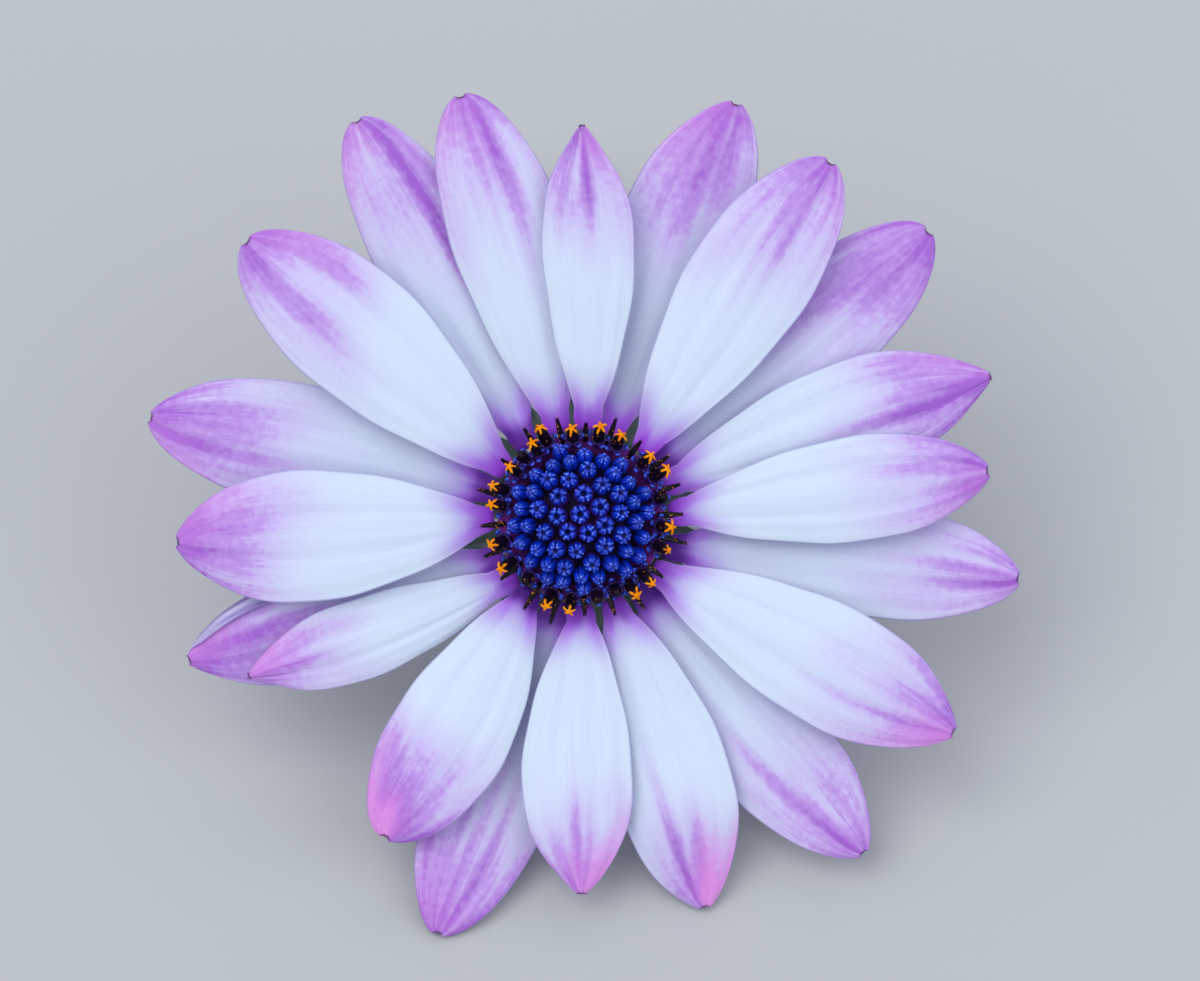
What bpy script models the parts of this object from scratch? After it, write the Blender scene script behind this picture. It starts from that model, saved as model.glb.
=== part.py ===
"""An osteospermum flower as picked: one bloom on a short leafy stem, lying on a surface.

Metres, +Z up. The origin is on the surface, under the middle of the whole flower.
The bloom is modelled in a frame of its own: X and Y lie across its face and Z is the way it
looks. The empty "bloom" carries that frame and leans it towards -Y, as a picked bloom lies:
on the tips of two lower petals, with the stem and its two leaves on the surface behind it.
"""

import math

import bmesh
import bpy
from mathutils import Matrix, Vector

MM = 0.001

# The bloom's place
LEAN = math.radians(35)
BLOOM_CENTRE = Vector((-0.22, -10.54, 18.1)) * MM

# Petals, which are ray florets
BLADE = 0.6 * MM
ROOT_RADIUS = 7.5 * MM
CLAW_WIDTH = 1.7 * MM
CLAW_FLARE = 0.8 * MM
CLAW_LENGTH = 0.035
OUTER_RADIUS = 38.0 * MM
ARCH = 2.2 * MM
ARCH_TURN = 0.62 * math.pi
ROOT_STEP = 0.95 * MM
LAYER_STEP = 1.5 * MM
STEP_LENGTH = 6.0 * MM
CAMBER = 0.45 * MM
WIDEST_POWER = 1.36
TIP_END = 0.997
TIP_HALF_WIDTH = 0.45 * MM
SHARPEN_FROM = 0.6
TOOTH_DEPTH = 0.35 * MM
LIFT_FROM = 0.66
PETAL_ROWS = 10
PETAL_COLUMNS = 4

# One row for each petal, clockwise from the top of the face: root azimuth and tip azimuth in
# degrees, tip reach from the bloom's axis, width, sideways bow, layer (0 back to 2 front),
# how far the tip turns up and how sharp it is.
PETALS = [
    (85.5, 90.0, 33.7, 7.9, -0.4, 2, 0.3, 0.45),
    (69.5, 69.5, 38.1, 10.8, 0.7, 0, 0.4, 0.08),
    (47.5, 55.0, 37.2, 10.5, 0.3, 2, -0.4, 0.0),
    (32.5, 39.5, 38.8, 10.4, 0.0, 0, 0.2, 0.0),
    (21.0, 19.0, 37.4, 9.5, 0.6, 1, -0.5, 0.35),
    (2.0, 6.5, 35.2, 9.0, 0.0, 2, -0.6, 0.1),
    (339.0, 352.0, 38.1, 9.8, 0.5, 0, 0.5, 0.05),
    (323.5, 330.0, 37.0, 10.5, 0.0, 2, -0.7, 0.18),
    (309.5, 310.0, 37.9, 10.2, -0.4, 0, 0.4, 0.1),
    (291.0, 287.5, 35.4, 10.2, 0.5, 1, -1.48, 0.15),
    (270.5, 270.0, 32.4, 9.5, -0.4, 2, -0.4, 0.3),
    (253.5, 251.0, 37.9, 10.4, 0.4, 0, 1.6, 0.05),
    (234.5, 238.5, 32.2, 10.3, 0.4, 2, -0.3, 0.0),
    (222.5, 205.5, 31.8, 6.9, 0.4, 1, 0.4, 0.4),
    (206.5, 200.0, 36.2, 9.1, 0.5, 0, -0.4, 0.2),
    (181.5, 183.5, 34.8, 11.3, 0.3, 2, -0.5, 0.12),
    (163.5, 167.0, 38.2, 10.5, -0.4, 0, 0.4, 0.08),
    (148.5, 140.5, 37.2, 11.1, -0.4, 2, -0.3, 0.0),
    (128.0, 119.5, 39.3, 9.8, -0.5, 0, 0.6, 0.0),
    (104.5, 106.0, 37.7, 9.8, -0.5, 1, 0.0, 0.0),
]

# Disc: a dome of closed buds, a ring of open florets and a fringe of dark styles.
# A bud's place is its tip's azimuth in degrees and distance from the axis in millimetres, and
# an open floret's place is that of its pollen star. Levels are (height, radius, waist) shares.
BUDS = [
    (108, 0.3), (294, 1.5), (227, 1.7), (29, 1.9), (177, 2.1), (84, 2.1), (342, 2.2), (137, 2.7),
    (262, 3.0), (310, 3.3), (57, 3.4), (202, 3.5), (108, 3.5), (7, 3.5), (232, 3.6), (169, 3.9),
    (32, 4.0), (337, 4.0), (283, 4.2), (82, 4.3), (131, 4.4), (252, 4.7), (216, 4.9), (189, 4.9),
    (152, 4.9), (53, 4.9), (16, 4.9), (355, 5.0), (303, 5.0), (101, 5.1), (323, 5.1), (235, 5.2),
    (119, 5.3), (36, 5.3), (270, 5.3), (172, 5.5), (69, 5.5), (87, 5.6), (137, 5.6), (286, 5.6),
    (342, 5.9), (203, 5.9), (221, 6.0), (53, 6.0), (4, 6.0), (254, 6.0), (187, 6.1), (158, 6.1),
    (21, 6.1), (310, 6.2), (108, 6.3), (326, 6.3), (241, 6.3), (272, 6.4),
]
DISC_FOOT = 2.6 * MM
DISC_RADIUS = 7.1 * MM
DISC_SIDE = 0.9 * MM
DOME_BASE = 2.6 * MM
DOME_RADIUS = 5.5 * MM
DOME_START = 1.17 * MM
DOME_STEPS = 5
TIP_RADIUS = 7.1 * MM
FLATNESS = 0.8
BUD_RADIUS = 0.84 * MM
BUD_LENGTH = 1.9 * MM
BUD_LEAN = 0.6
LOBES = 5
BUD_LEVELS = [(0.0, 0.62, 1.0), (0.78, 1.0, 0.8), (1.0, 0.55, 0.8)]
OPEN_FLORETS = [
    (13.6, 7.7), (29.3, 8.4), (41.6, 7.9), (64.2, 7.8), (78.0, 7.9), (96.1, 7.6), (114.7, 8.4),
    (123.5, 7.6), (134.0, 7.9), (144.6, 7.5), (160.3, 8.0), (171.9, 7.8), (196.9, 8.0),
    (212.7, 8.2), (228.8, 7.7), (248.4, 8.1), (262.7, 8.1), (281.1, 7.6), (295.4, 7.5),
    (305.5, 8.1), (317.0, 8.3), (339.4, 7.9), (353.8, 7.7),
]
OPEN_FOOT = (6.2 * MM, 3.0 * MM)
COLLAR_RADIUS = 0.85 * MM
COLLAR_HEIGHT = 1.6 * MM
COLLAR_LEVELS = [(0.0, 0.45, 1.0), (1.0, 1.0, 0.65)]
ANTHER_RADIUS = 0.42 * MM
ANTHER_START = 0.5 * MM
ANTHER_LENGTH = 3.3 * MM
ANTHER_TAPER = 0.6
STAR_RADIUS = 0.72 * MM
STAR_DEPTH = 0.35 * MM
STAR_LEVELS = [(0.0, 1.0, 0.5), (1.0, 0.9, 0.5)]
SPIKE_COUNT = 20
SPIKE_FIRST = math.radians(1)
SPIKE_FOOT = (6.6 * MM, 3.1 * MM)
SPIKE_TIP = (9.1 * MM, 4.3 * MM)
SPIKE_RADIUS = 0.4 * MM
SPIKE_TAPER = 0.1

# Receptacle with its green bracts, and the stem
CUP_PROFILE = [(7.2, 2.3), (7.2, -1.6), (6.2, -3.2), (4.2, -5.0), (2.4, -6.1), (1.9, -6.9)]
STEM_TOP = -7.2 * MM
STEM_RADIUS = 1.5 * MM
GAP = 0.3 * MM
MERGE = 0.001 * MM
TURN_STEPS = 22
SHARP = math.radians(50)
BRACT_WIDTH = 2.0 * MM
BRACT_ROWS = 4
BRACT_PATH = [(5.0, -3.6), (6.6, -2.75), (8.7, -1.75), (11.4, -0.7)]
BRACT_TAPER = 0.7
BRACT_BEND = 0.2
STEM_LENGTH = 52.0 * MM
STEM_TURN_RADIUS = 25.0 * MM
STEM_SWAY = 1.6 * MM
STEM_POINTS = 20

# Leaves: foot distance along the stem, side, azimuth of the midrib, length, width, teeth a side
LEAVES = {
    "leaf_left": (40.0, 1, 205.0, 24.0, 10.0, 4),
    "leaf_right": (46.0, -1, -24.0, 23.0, 9.0, 3),
}
LEAF_BLADE = 0.7 * MM
LEAF_COLUMNS = 6
LEAF_ARCH = 2.6 * MM
LEAF_WAVE = 0.35 * MM
LEAF_FOLD = 1.1 * MM
LEAF_NOTCH = 0.84
LEAF_TIP_HALF = 0.35 * MM
PETIOLE_HALF = 0.9 * MM
PETIOLE_END = 0.9

GREEN = (0.16, 0.30, 0.07, 1)
LEAF_GREEN = (0.09, 0.24, 0.06, 1)
PETAL_WHITE = (0.78, 0.76, 0.92, 1)
DISC_BLUE = (0.03, 0.05, 0.42, 1)


def clear_scene():
    for thing in list(bpy.data.objects):
        bpy.data.objects.remove(thing)
    for group in list(bpy.data.collections):
        bpy.data.collections.remove(group)


def new_collection(name):
    group = bpy.data.collections.new(name)
    bpy.context.scene.collection.children.link(group)
    return group


def new_material(name, colour, roughness):
    made = bpy.data.materials.new(name)
    made.use_nodes = True
    shader = made.node_tree.nodes["Principled BSDF"]
    shader.inputs["Base Color"].default_value = colour
    shader.inputs["Roughness"].default_value = roughness
    shader.inputs["Metallic"].default_value = 0.0
    return made


def new_object(name, mesh, group, made=None, parent=None):
    thing = bpy.data.objects.new(name, mesh)
    group.objects.link(thing)
    thing.parent = parent
    if made:
        mesh.materials.append(made)
    return thing


def mesh_from(bm, name):
    mesh = bpy.data.meshes.new(name)
    bm.to_mesh(mesh)
    bm.free()
    return mesh


def shade(mesh):
    mesh.shade_smooth()
    mesh.set_sharp_from_angle(angle=SHARP)


def smooth_step(value):
    value = min(1.0, max(0.0, value))
    return value * value * (3 - 2 * value)


def polar(radius, azimuth, height=0.0):
    return Vector((radius * math.cos(azimuth), radius * math.sin(azimuth), height))


def blade_mesh(name, rows, columns, place):
    """A grid whose points place(u, v) sets, with u from 0 at the root and v from -1 to 1 across."""
    bm = bmesh.new()
    bmesh.ops.create_grid(bm, x_segments=rows, y_segments=columns, size=1)
    for vert in bm.verts:
        vert.co = place((vert.co.x + 1) / 2, vert.co.y)
    bmesh.ops.triangulate(bm, faces=bm.faces)
    mesh = mesh_from(bm, name)
    mesh.shade_smooth()
    return mesh


def thicken(thing, thickness):
    skin = thing.modifiers.new("thickness", "SOLIDIFY")
    skin.thickness = thickness
    skin.offset = 0


def baked(thing):
    """The object's mesh as its modifiers leave it, as a plain mesh."""
    bpy.context.view_layer.update()
    graph = bpy.context.evaluated_depsgraph_get()
    return bpy.data.meshes.new_from_object(thing.evaluated_get(graph))


def fuse(core, pieces):
    """Joins the pieces into the core with one Boolean union, and removes them."""
    union = core.modifiers.new("fuse", "BOOLEAN")
    union.operation = "UNION"
    union.operand_type = "COLLECTION"
    union.collection = pieces
    union.solver = "MANIFOLD"
    core.data = baked(core)
    shade(core.data)
    core.modifiers.clear()
    for piece in list(pieces.objects):
        bpy.data.objects.remove(piece)
    bpy.data.collections.remove(pieces)


def petal_depth(radius, layer):
    """Height of a petal's middle sheet over the root plane: the arch that all the petals share,
    and the step between layers that keeps overlapping petals apart."""
    share = (radius - ROOT_RADIUS) / (OUTER_RADIUS - ROOT_RADIUS)
    step = ROOT_STEP + (LAYER_STEP - ROOT_STEP) * smooth_step((radius - ROOT_RADIUS) / STEP_LENGTH)
    return ARCH * math.sin(ARCH_TURN * share) + layer * step


def petal_half_width(along, width, sharp):
    swell = max(0.0, math.sin(math.pi * along**WIDEST_POWER))
    swell **= 0.5 + sharp * smooth_step((along - SHARPEN_FROM) / (1 - SHARPEN_FROM))
    claw = CLAW_WIDTH + CLAW_FLARE * smooth_step(along / CLAW_LENGTH)
    return max(claw / 2 if along < 0.5 else TIP_HALF_WIDTH, swell * width / 2)


def add_petal(number, row, group, made, bloom):
    root_azimuth, tip_azimuth = (math.radians(angle) for angle in row[:2])
    reach, width, bow = (size * MM for size in row[2:5])
    layer, lift, sharp = row[5], row[6] * MM, row[7]
    root = polar(ROOT_RADIUS, root_azimuth)
    run = polar(reach, tip_azimuth) - root
    turn = math.atan2(run.y, run.x)
    to_face = Matrix.Translation(root) @ Matrix.Rotation(turn, 4, "Z")

    def place(u, v):
        along = TIP_END * (1 - (1 - u) ** 1.5)
        side = v * petal_half_width(along, width, sharp) + bow * math.sin(math.pi * along)
        tooth = TOOTH_DEPTH if u > 0.999 and abs(abs(v) - 0.5) < 0.1 else 0.0
        point = Vector((along * run.length - tooth, side, 0))
        radius = (to_face @ point).length
        edge_drop = CAMBER * smooth_step(along / 0.4) * v * v
        turn_up = lift * smooth_step((along - LIFT_FROM) / (1 - LIFT_FROM))
        point.z = petal_depth(radius, layer) - edge_drop + turn_up
        return point

    name = f"ray_floret_{number:02d}"
    mesh = blade_mesh(name, PETAL_ROWS, PETAL_COLUMNS, place)
    petal = new_object(name, mesh, group, made, bloom)
    petal.location = root
    petal.rotation_euler.z = turn
    thicken(petal, BLADE)


def along_normal(point, direction):
    """A matrix that stands a local +Z shape at the point, along the direction."""
    return Matrix.Translation(point) @ direction.to_track_quat("Z", "Y").to_matrix().to_4x4()


def lobed_rings(levels, radius, height, start=0.0):
    """A closed body of star-shaped rings, from levels that give shares of the height and radius."""
    bm = bmesh.new()
    rings = []
    for share, width, waist in levels:
        made = bmesh.ops.create_circle(bm, segments=2 * LOBES, radius=width * radius)["verts"]
        for index, vert in enumerate(made):
            vert.co *= waist if index % 2 else 1.0
            vert.co.z = start + share * height
        rings.append(made)
    for lower, upper in zip(rings, rings[1:]):
        for index in range(2 * LOBES):
            after = (index + 1) % (2 * LOBES)
            bm.faces.new((lower[index], lower[after], upper[after], upper[index]))
    bm.faces.new(rings[0])
    bm.faces.new(rings[-1])
    bmesh.ops.recalc_face_normals(bm, faces=bm.faces)
    return bm


def tapered_rod(sides, low, high, start, end):
    bm = bmesh.new()
    bmesh.ops.create_cone(
        bm, cap_ends=True, segments=sides, radius1=low, radius2=high, depth=end - start
    )
    bmesh.ops.translate(bm, verts=bm.verts, vec=(0, 0, (start + end) / 2))
    return bm


def dome_profile():
    """Half section of the low drum and dome that the disc florets stand on."""
    shoulder = DISC_FOOT + DISC_SIDE
    profile = [(0.0, DISC_FOOT), (DISC_RADIUS, DISC_FOOT), (DISC_RADIUS, shoulder)]
    first = math.asin(DOME_START / (FLATNESS * DOME_RADIUS))
    for step in range(DOME_STEPS):
        angle = first + (math.pi / 2 - first) * step / DOME_STEPS
        height = DOME_BASE + FLATNESS * DOME_RADIUS * math.sin(angle)
        profile.append((DOME_RADIUS * math.cos(angle), height))
    profile.append((0.0, DOME_BASE + FLATNESS * DOME_RADIUS))
    return profile[::-1]


def new_turned(name, profile, group, made):
    """A solid turned about Z: its (radius, height) profile runs down the outer side."""
    bm = bmesh.new()
    verts = [bm.verts.new((radius, 0, height)) for radius, height in profile]
    for pair in zip(verts, verts[1:]):
        bm.edges.new(pair)
    thing = new_object(name, mesh_from(bm, name), group, made)
    screw = thing.modifiers.new("turn", "SCREW")
    screw.steps = TURN_STEPS
    screw.render_steps = TURN_STEPS
    screw.use_merge_vertices = True
    screw.merge_threshold = MERGE
    return thing


def add_disc(group, made, bloom):
    florets = new_collection("florets")
    star_foot = ANTHER_LENGTH - STAR_DEPTH / 2
    anther_top = ANTHER_TAPER * ANTHER_RADIUS
    bodies = {
        "bud": lobed_rings(BUD_LEVELS, BUD_RADIUS, BUD_LENGTH),
        "collar": lobed_rings(COLLAR_LEVELS, COLLAR_RADIUS, COLLAR_HEIGHT),
        "anther": tapered_rod(6, ANTHER_RADIUS, anther_top, ANTHER_START, ANTHER_LENGTH),
        "star": lobed_rings(STAR_LEVELS, STAR_RADIUS, STAR_DEPTH, star_foot),
        "spike": tapered_rod(5, SPIKE_RADIUS, SPIKE_TAPER * SPIKE_RADIUS, 0, 1),
    }
    meshes = {name: mesh_from(body, name) for name, body in bodies.items()}
    for number, (degrees, distance) in enumerate(BUDS):
        azimuth = math.radians(degrees)
        tilt = math.asin(distance * MM / TIP_RADIUS)
        tip = polar(distance * MM, azimuth, DOME_BASE + FLATNESS * TIP_RADIUS * math.cos(tilt))
        outward = polar(math.sin(BUD_LEAN * tilt), azimuth, math.cos(BUD_LEAN * tilt))
        bud = new_object(f"bud_{number}", meshes["bud"], florets)
        bud.matrix_world = along_normal(tip - outward * BUD_LENGTH, outward)
    for number, (degrees, distance) in enumerate(OPEN_FLORETS):
        azimuth = math.radians(degrees)
        lean = math.asin((distance * MM - OPEN_FOOT[0]) / ANTHER_LENGTH)
        foot = polar(OPEN_FOOT[0], azimuth, OPEN_FOOT[1])
        outward = polar(math.sin(lean), azimuth, math.cos(lean))
        for shape in ("collar", "anther", "star"):
            piece = new_object(f"{shape}_{number}", meshes[shape], florets)
            piece.matrix_world = along_normal(foot, outward)
    for number in range(SPIKE_COUNT):
        azimuth = SPIKE_FIRST + number * 2 * math.pi / SPIKE_COUNT
        foot = polar(SPIKE_FOOT[0], azimuth, SPIKE_FOOT[1])
        reach = polar(SPIKE_TIP[0], azimuth, SPIKE_TIP[1]) - foot
        spike = new_object(f"spike_{number}", meshes["spike"], florets)
        spike.matrix_world = along_normal(foot, reach) @ Matrix.Diagonal((1, 1, reach.length, 1))
    disc = new_turned("disc_florets", dome_profile(), group, made)
    fuse(disc, florets)
    disc.parent = bloom


def bract_place(u, v):
    """A narrow pointed bract that leaves the cup and runs out close under the petals."""
    last = len(BRACT_PATH) - 1
    index = min(int(u * last), last - 1)
    share = u * last - index
    (r0, h0), (r1, h1) = BRACT_PATH[index], BRACT_PATH[index + 1]
    half = BRACT_WIDTH / 2 * (1 - BRACT_TAPER * u**2.2)
    height = (h0 + (h1 - h0) * share) * MM - BRACT_BEND * half * v * v
    return Vector(((r0 + (r1 - r0) * share) * MM, v * half, height))


def add_receptacle(group, made, bloom):
    """The cup, with a bract behind each gap between two petal roots."""
    bracts = new_collection("bracts")
    mesh = blade_mesh("bract", BRACT_ROWS, 2, bract_place)
    roots = sorted(row[0] for row in PETALS)
    for number, (before, after) in enumerate(zip(roots, [*roots[1:], roots[0] + 360])):
        bract = new_object(f"bract_{number}", mesh, bracts)
        bract.rotation_euler.z = math.radians((before + after) / 2)
        thicken(bract, BLADE)
    outside = [(radius * MM, height * MM) for radius, height in CUP_PROFILE]
    profile = [(0.0, outside[0][1]), *outside, (0.0, outside[-1][1])]
    cup = new_turned("receptacle", profile, group, made)
    fuse(cup, bracts)
    cup.parent = bloom


def stem_route():
    """Centre line from under the bloom to the cut end: straight out of the cup, round to level
    and then along the surface, with a slight sway."""
    face = Matrix.Translation(BLOOM_CENTRE) @ Matrix.Rotation(LEAN, 4, "X")
    top = face @ Vector((0, 0, STEM_TOP))
    slope = math.pi / 2 - LEAN
    turn = STEM_TURN_RADIUS * slope
    drop = STEM_TURN_RADIUS * (1 - math.cos(slope))
    straight = (top.z - STEM_RADIUS - drop) / math.sin(slope)
    points = []
    for index in range(STEM_POINTS):
        run = STEM_LENGTH * index / (STEM_POINTS - 1)
        on_slope = min(run, straight)
        bent = min(max(run - straight, 0.0), turn) / STEM_TURN_RADIUS
        level = max(run - straight - turn, 0.0)
        forward = on_slope * math.cos(slope) + level
        forward += STEM_TURN_RADIUS * (math.sin(slope) - math.sin(slope - bent))
        down = on_slope * math.sin(slope)
        down += STEM_TURN_RADIUS * (math.cos(slope - bent) - math.cos(slope))
        sway = STEM_SWAY * math.sin(2 * math.pi * smooth_step(run / STEM_LENGTH))
        points.append(top + Vector((sway, forward, -down)))
    return points


def add_stem(route, group, made):
    curve = bpy.data.curves.new("stem", "CURVE")
    curve.dimensions = "3D"
    curve.bevel_depth = STEM_RADIUS
    curve.bevel_resolution = 4
    curve.use_fill_caps = True
    line = curve.splines.new("POLY")
    line.points.add(len(route) - 1)
    for point, place in zip(line.points, route):
        point.co = (*place, 1)
    curve.materials.append(made)
    stem = bpy.data.objects.new("stem", curve)
    group.objects.link(stem)


def add_leaf(name, route, group, made):
    foot_run, side, azimuth, length, width, teeth = LEAVES[name]
    length, width = length * MM, width * MM
    nearest = round(foot_run * MM / STEM_LENGTH * (STEM_POINTS - 1))
    turn = math.radians(azimuth)
    clear = STEM_RADIUS + GAP + PETIOLE_HALF * abs(math.sin(turn))
    foot = route[nearest] + Vector((-side * clear, 0, 0))
    rows = 2 * (teeth + 2)

    def place(u, v):
        swell = math.sin(math.pi * min(1.0, u) ** 1.25) ** 0.75 if 0 < u < 1 else 0.0
        least = PETIOLE_HALF if u < PETIOLE_END else LEAF_TIP_HALF
        half = max(least, swell * width / 2)
        row = round(u * rows)
        toothed = 3 < row < rows and row % 2
        notch = LEAF_NOTCH if toothed and abs(v) > 0.99 else 1.0
        arch = LEAF_ARCH * math.sin(math.pi * u**0.8)
        sink = (foot.z - 0.52 * LEAF_BLADE) * smooth_step(u)
        wave = LEAF_WAVE * math.sin(math.pi * u * teeth) * v * smooth_step(u / 0.3)
        fold = LEAF_FOLD * v * v * math.sin(math.pi * u)
        return Vector((u * length, v * half * notch, arch - sink + wave + fold))

    leaf = new_object(name, blade_mesh(name, rows, LEAF_COLUMNS, place), group, made)
    leaf.location = foot
    leaf.rotation_euler.z = turn
    thicken(leaf, LEAF_BLADE)


def main():
    clear_scene()
    group = new_collection("osteospermum")
    green = new_material("stem_green", GREEN, 0.6)
    leaf_green = new_material("leaf_green", LEAF_GREEN, 0.55)
    white = new_material("petal_white", PETAL_WHITE, 0.5)
    blue = new_material("disc_blue", DISC_BLUE, 0.45)
    bloom = bpy.data.objects.new("bloom", None)
    group.objects.link(bloom)
    bloom.location = BLOOM_CENTRE
    bloom.rotation_euler.x = LEAN
    for number, row in enumerate(PETALS, 1):
        add_petal(number, row, group, white, bloom)
    add_disc(group, blue, bloom)
    add_receptacle(group, green, bloom)
    route = stem_route()
    add_stem(route, group, green)
    for name in LEAVES:
        add_leaf(name, route, group, leaf_green)


main()
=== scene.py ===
import math

import bpy
import numpy as np
from mathutils import Matrix, Vector, noise


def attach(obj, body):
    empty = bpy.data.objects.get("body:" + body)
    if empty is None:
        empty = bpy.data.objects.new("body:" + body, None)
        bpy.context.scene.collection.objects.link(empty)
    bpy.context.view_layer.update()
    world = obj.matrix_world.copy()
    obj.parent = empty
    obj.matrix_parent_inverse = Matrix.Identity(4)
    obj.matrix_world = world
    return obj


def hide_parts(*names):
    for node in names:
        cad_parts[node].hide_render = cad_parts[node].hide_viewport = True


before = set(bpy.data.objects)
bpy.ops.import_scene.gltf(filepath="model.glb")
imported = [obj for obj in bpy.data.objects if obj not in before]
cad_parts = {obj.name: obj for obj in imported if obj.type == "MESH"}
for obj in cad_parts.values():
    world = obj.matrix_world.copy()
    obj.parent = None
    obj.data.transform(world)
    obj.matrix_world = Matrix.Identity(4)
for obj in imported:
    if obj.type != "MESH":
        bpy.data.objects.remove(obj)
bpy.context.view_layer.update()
mm = 0.001

# The bloom has a frame of its own: X and Y lie across its face and Z is the way it looks.
bloom = {"centre": Vector((-0.22, -10.54, 18.1)) * mm, "lean": math.radians(35)}
faceToWorld = Matrix.Translation(bloom["centre"]) @ Matrix.Rotation(bloom["lean"], 4, "X")


# small tools shared by every piece

def toLinear(code):
    # sRGB hex, as a colour picker gives it, to the linear values that a shader takes.
    parts = [int(code[start:start + 2], 16) / 255 for start in (1, 3, 5)]
    return (*[c / 12.92 if c <= 0.04045 else ((c + 0.055) / 1.055) ** 2.4 for c in parts], 1.0)


def addNode(tree, kind, settings=None, inputs=None, output=0):
    # Adds one node, sets its properties, fills or links its inputs, and returns one output.
    node = tree.nodes.new(kind)
    for name, value in (settings or {}).items():
        setattr(node, name, value)
    for key, value in (inputs or {}).items():
        if isinstance(value, bpy.types.NodeSocket):
            tree.links.new(value, node.inputs[key])
        else:
            isColour = isinstance(value, str) and value.startswith("#")
            node.inputs[key].default_value = toLinear(value) if isColour else value
    return node.outputs[output]


def overlay(tree, colour, *layers):
    # Lays tones over a colour one after another, each by its share.
    for share, tone in layers:
        colour = addNode(tree, "ShaderNodeMix", {"data_type": "RGBA"}, {0: share, 6: colour, 7: tone}, 2)
    return colour


def readMasks(tree, *names):
    # The colour masks that a mesh carries, by name.
    return {
        name: addNode(tree, "ShaderNodeAttribute", {"attribute_name": name}, output=2) for name in names}


def dress(tree, shader, sockets):
    # Links what a material worked out to its shader.
    for key, socket in sockets.items():
        tree.links.new(socket, shader.inputs[key])


def newMaterial(name, settings):
    # A material whose shader takes plain numbers from settings; the caller links the rest.
    material = bpy.data.materials.new(name)
    material.use_nodes = True
    shader = material.node_tree.nodes["Principled BSDF"]
    for key, value in settings.items():
        shader.inputs[key].default_value = value
    return material, material.node_tree, shader


def smooth(value, low, high):
    share = np.clip((value - low) / (high - low), 0, 1)
    return share * share * (3 - 2 * share)


def bell(value, width):
    return np.exp(-((value / width) ** 2))


def reachAt(radius, degrees):
    return radius * np.array([math.cos(math.radians(degrees)), math.sin(math.radians(degrees))])


def spotAt(radius, degrees, height):
    return np.array([*reachAt(radius, degrees), height])


def runAlong(path):
    # Distance along a path to each of its points.
    return np.concatenate([[0], np.cumsum(np.hypot(*np.diff(path, axis=0).T))])


def meshOf(name, points, faces, material=None, values=None, uv=None):
    mesh = bpy.data.meshes.new(name)
    mesh.from_pydata(np.asarray(points, float).reshape(-1, 3).tolist(), [], faces)
    for key, numbers in (values or {}).items():
        flat = np.asarray(numbers, np.float32).ravel()
        vector = flat.size == 3 * len(mesh.vertices)
        made = mesh.attributes.new(key, "FLOAT_VECTOR" if vector else "FLOAT", "POINT")
        made.data.foreach_set("vector" if vector else "value", flat)
    if uv is not None:
        layer = mesh.uv_layers.new(name="surfaceMap")
        corners = np.empty(len(mesh.loops), np.int32)
        mesh.loops.foreach_get("vertex_index", corners)
        layer.data.foreach_set("uv", np.asarray(uv, np.float32).reshape(-1, 2)[corners].ravel())
    if material:
        mesh.materials.append(material)
    mesh.shade_smooth()
    return mesh


def newObject(name, data):
    made = bpy.data.objects.new(name, data)
    bpy.context.scene.collection.objects.link(made)
    return made


def finishPiece(piece, slot, *nodes):
    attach(piece, "root")
    if nodes:
        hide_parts(*nodes)
    triangles = sum(len(face.vertices) - 2 for face in piece.data.polygons)
    print(f"  {piece.name}: {triangles} triangles")
    return piece


def gridOf(rows, columns):
    # For each point of a blade its share of the length, 0 to 1, and its place across, -1 to 1.
    return np.meshgrid(np.linspace(0, 1, rows), np.linspace(-1, 1, columns), indexing="ij")


def bladeMap(along, across):
    # Where each point of a blade's two faces lies on its map.
    return np.tile(np.stack([along.ravel(), (across.ravel() + 1) / 2], axis=-1), (2, 1))


def blade(middle, thickness):
    # A closed thin shell round a grid of middle points: upper face, lower face and a rim.
    rows, columns = middle.shape[:2]
    normal = np.cross(np.gradient(middle, axis=0), np.gradient(middle, axis=1))
    normal /= np.linalg.norm(normal, axis=2, keepdims=True) + 1e-12
    offset = normal * thickness[..., None] / 2
    points = np.concatenate([(middle + offset).reshape(-1, 3), (middle - offset).reshape(-1, 3)])
    index = np.arange(rows * columns).reshape(rows, columns)
    a, b, c, d = index[:-1, :-1], index[1:, :-1], index[1:, 1:], index[:-1, 1:]
    upper = np.stack([a, b, c, d], axis=-1).reshape(-1, 4)
    edge = np.concatenate([index[0, :-1], index[:-1, -1], index[-1, :0:-1], index[:0:-1, 0]])
    after = np.roll(edge, -1)
    count = rows * columns
    rim = np.stack([edge, after, after + count, edge + count], axis=-1)
    faces = np.concatenate([upper, upper[:, ::-1] + count, rim])
    return points, faces.tolist()


def joined(shells):
    # Several closed shells as one set of points and faces.
    points, faces = [], []
    for shellPoints, shellFaces in shells:
        start = len(points)
        points.extend(map(tuple, shellPoints))
        faces.extend([tuple(start + corner for corner in face) for face in shellFaces])
    return np.array(points), faces


def armAt(turn, radius, aside, height):
    # Middle points of an arm that reaches out from an axis, turned about it.
    return np.dstack([
        radius * math.cos(turn) - aside * math.sin(turn),
        radius * math.sin(turn) + aside * math.cos(turn), height])


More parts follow.
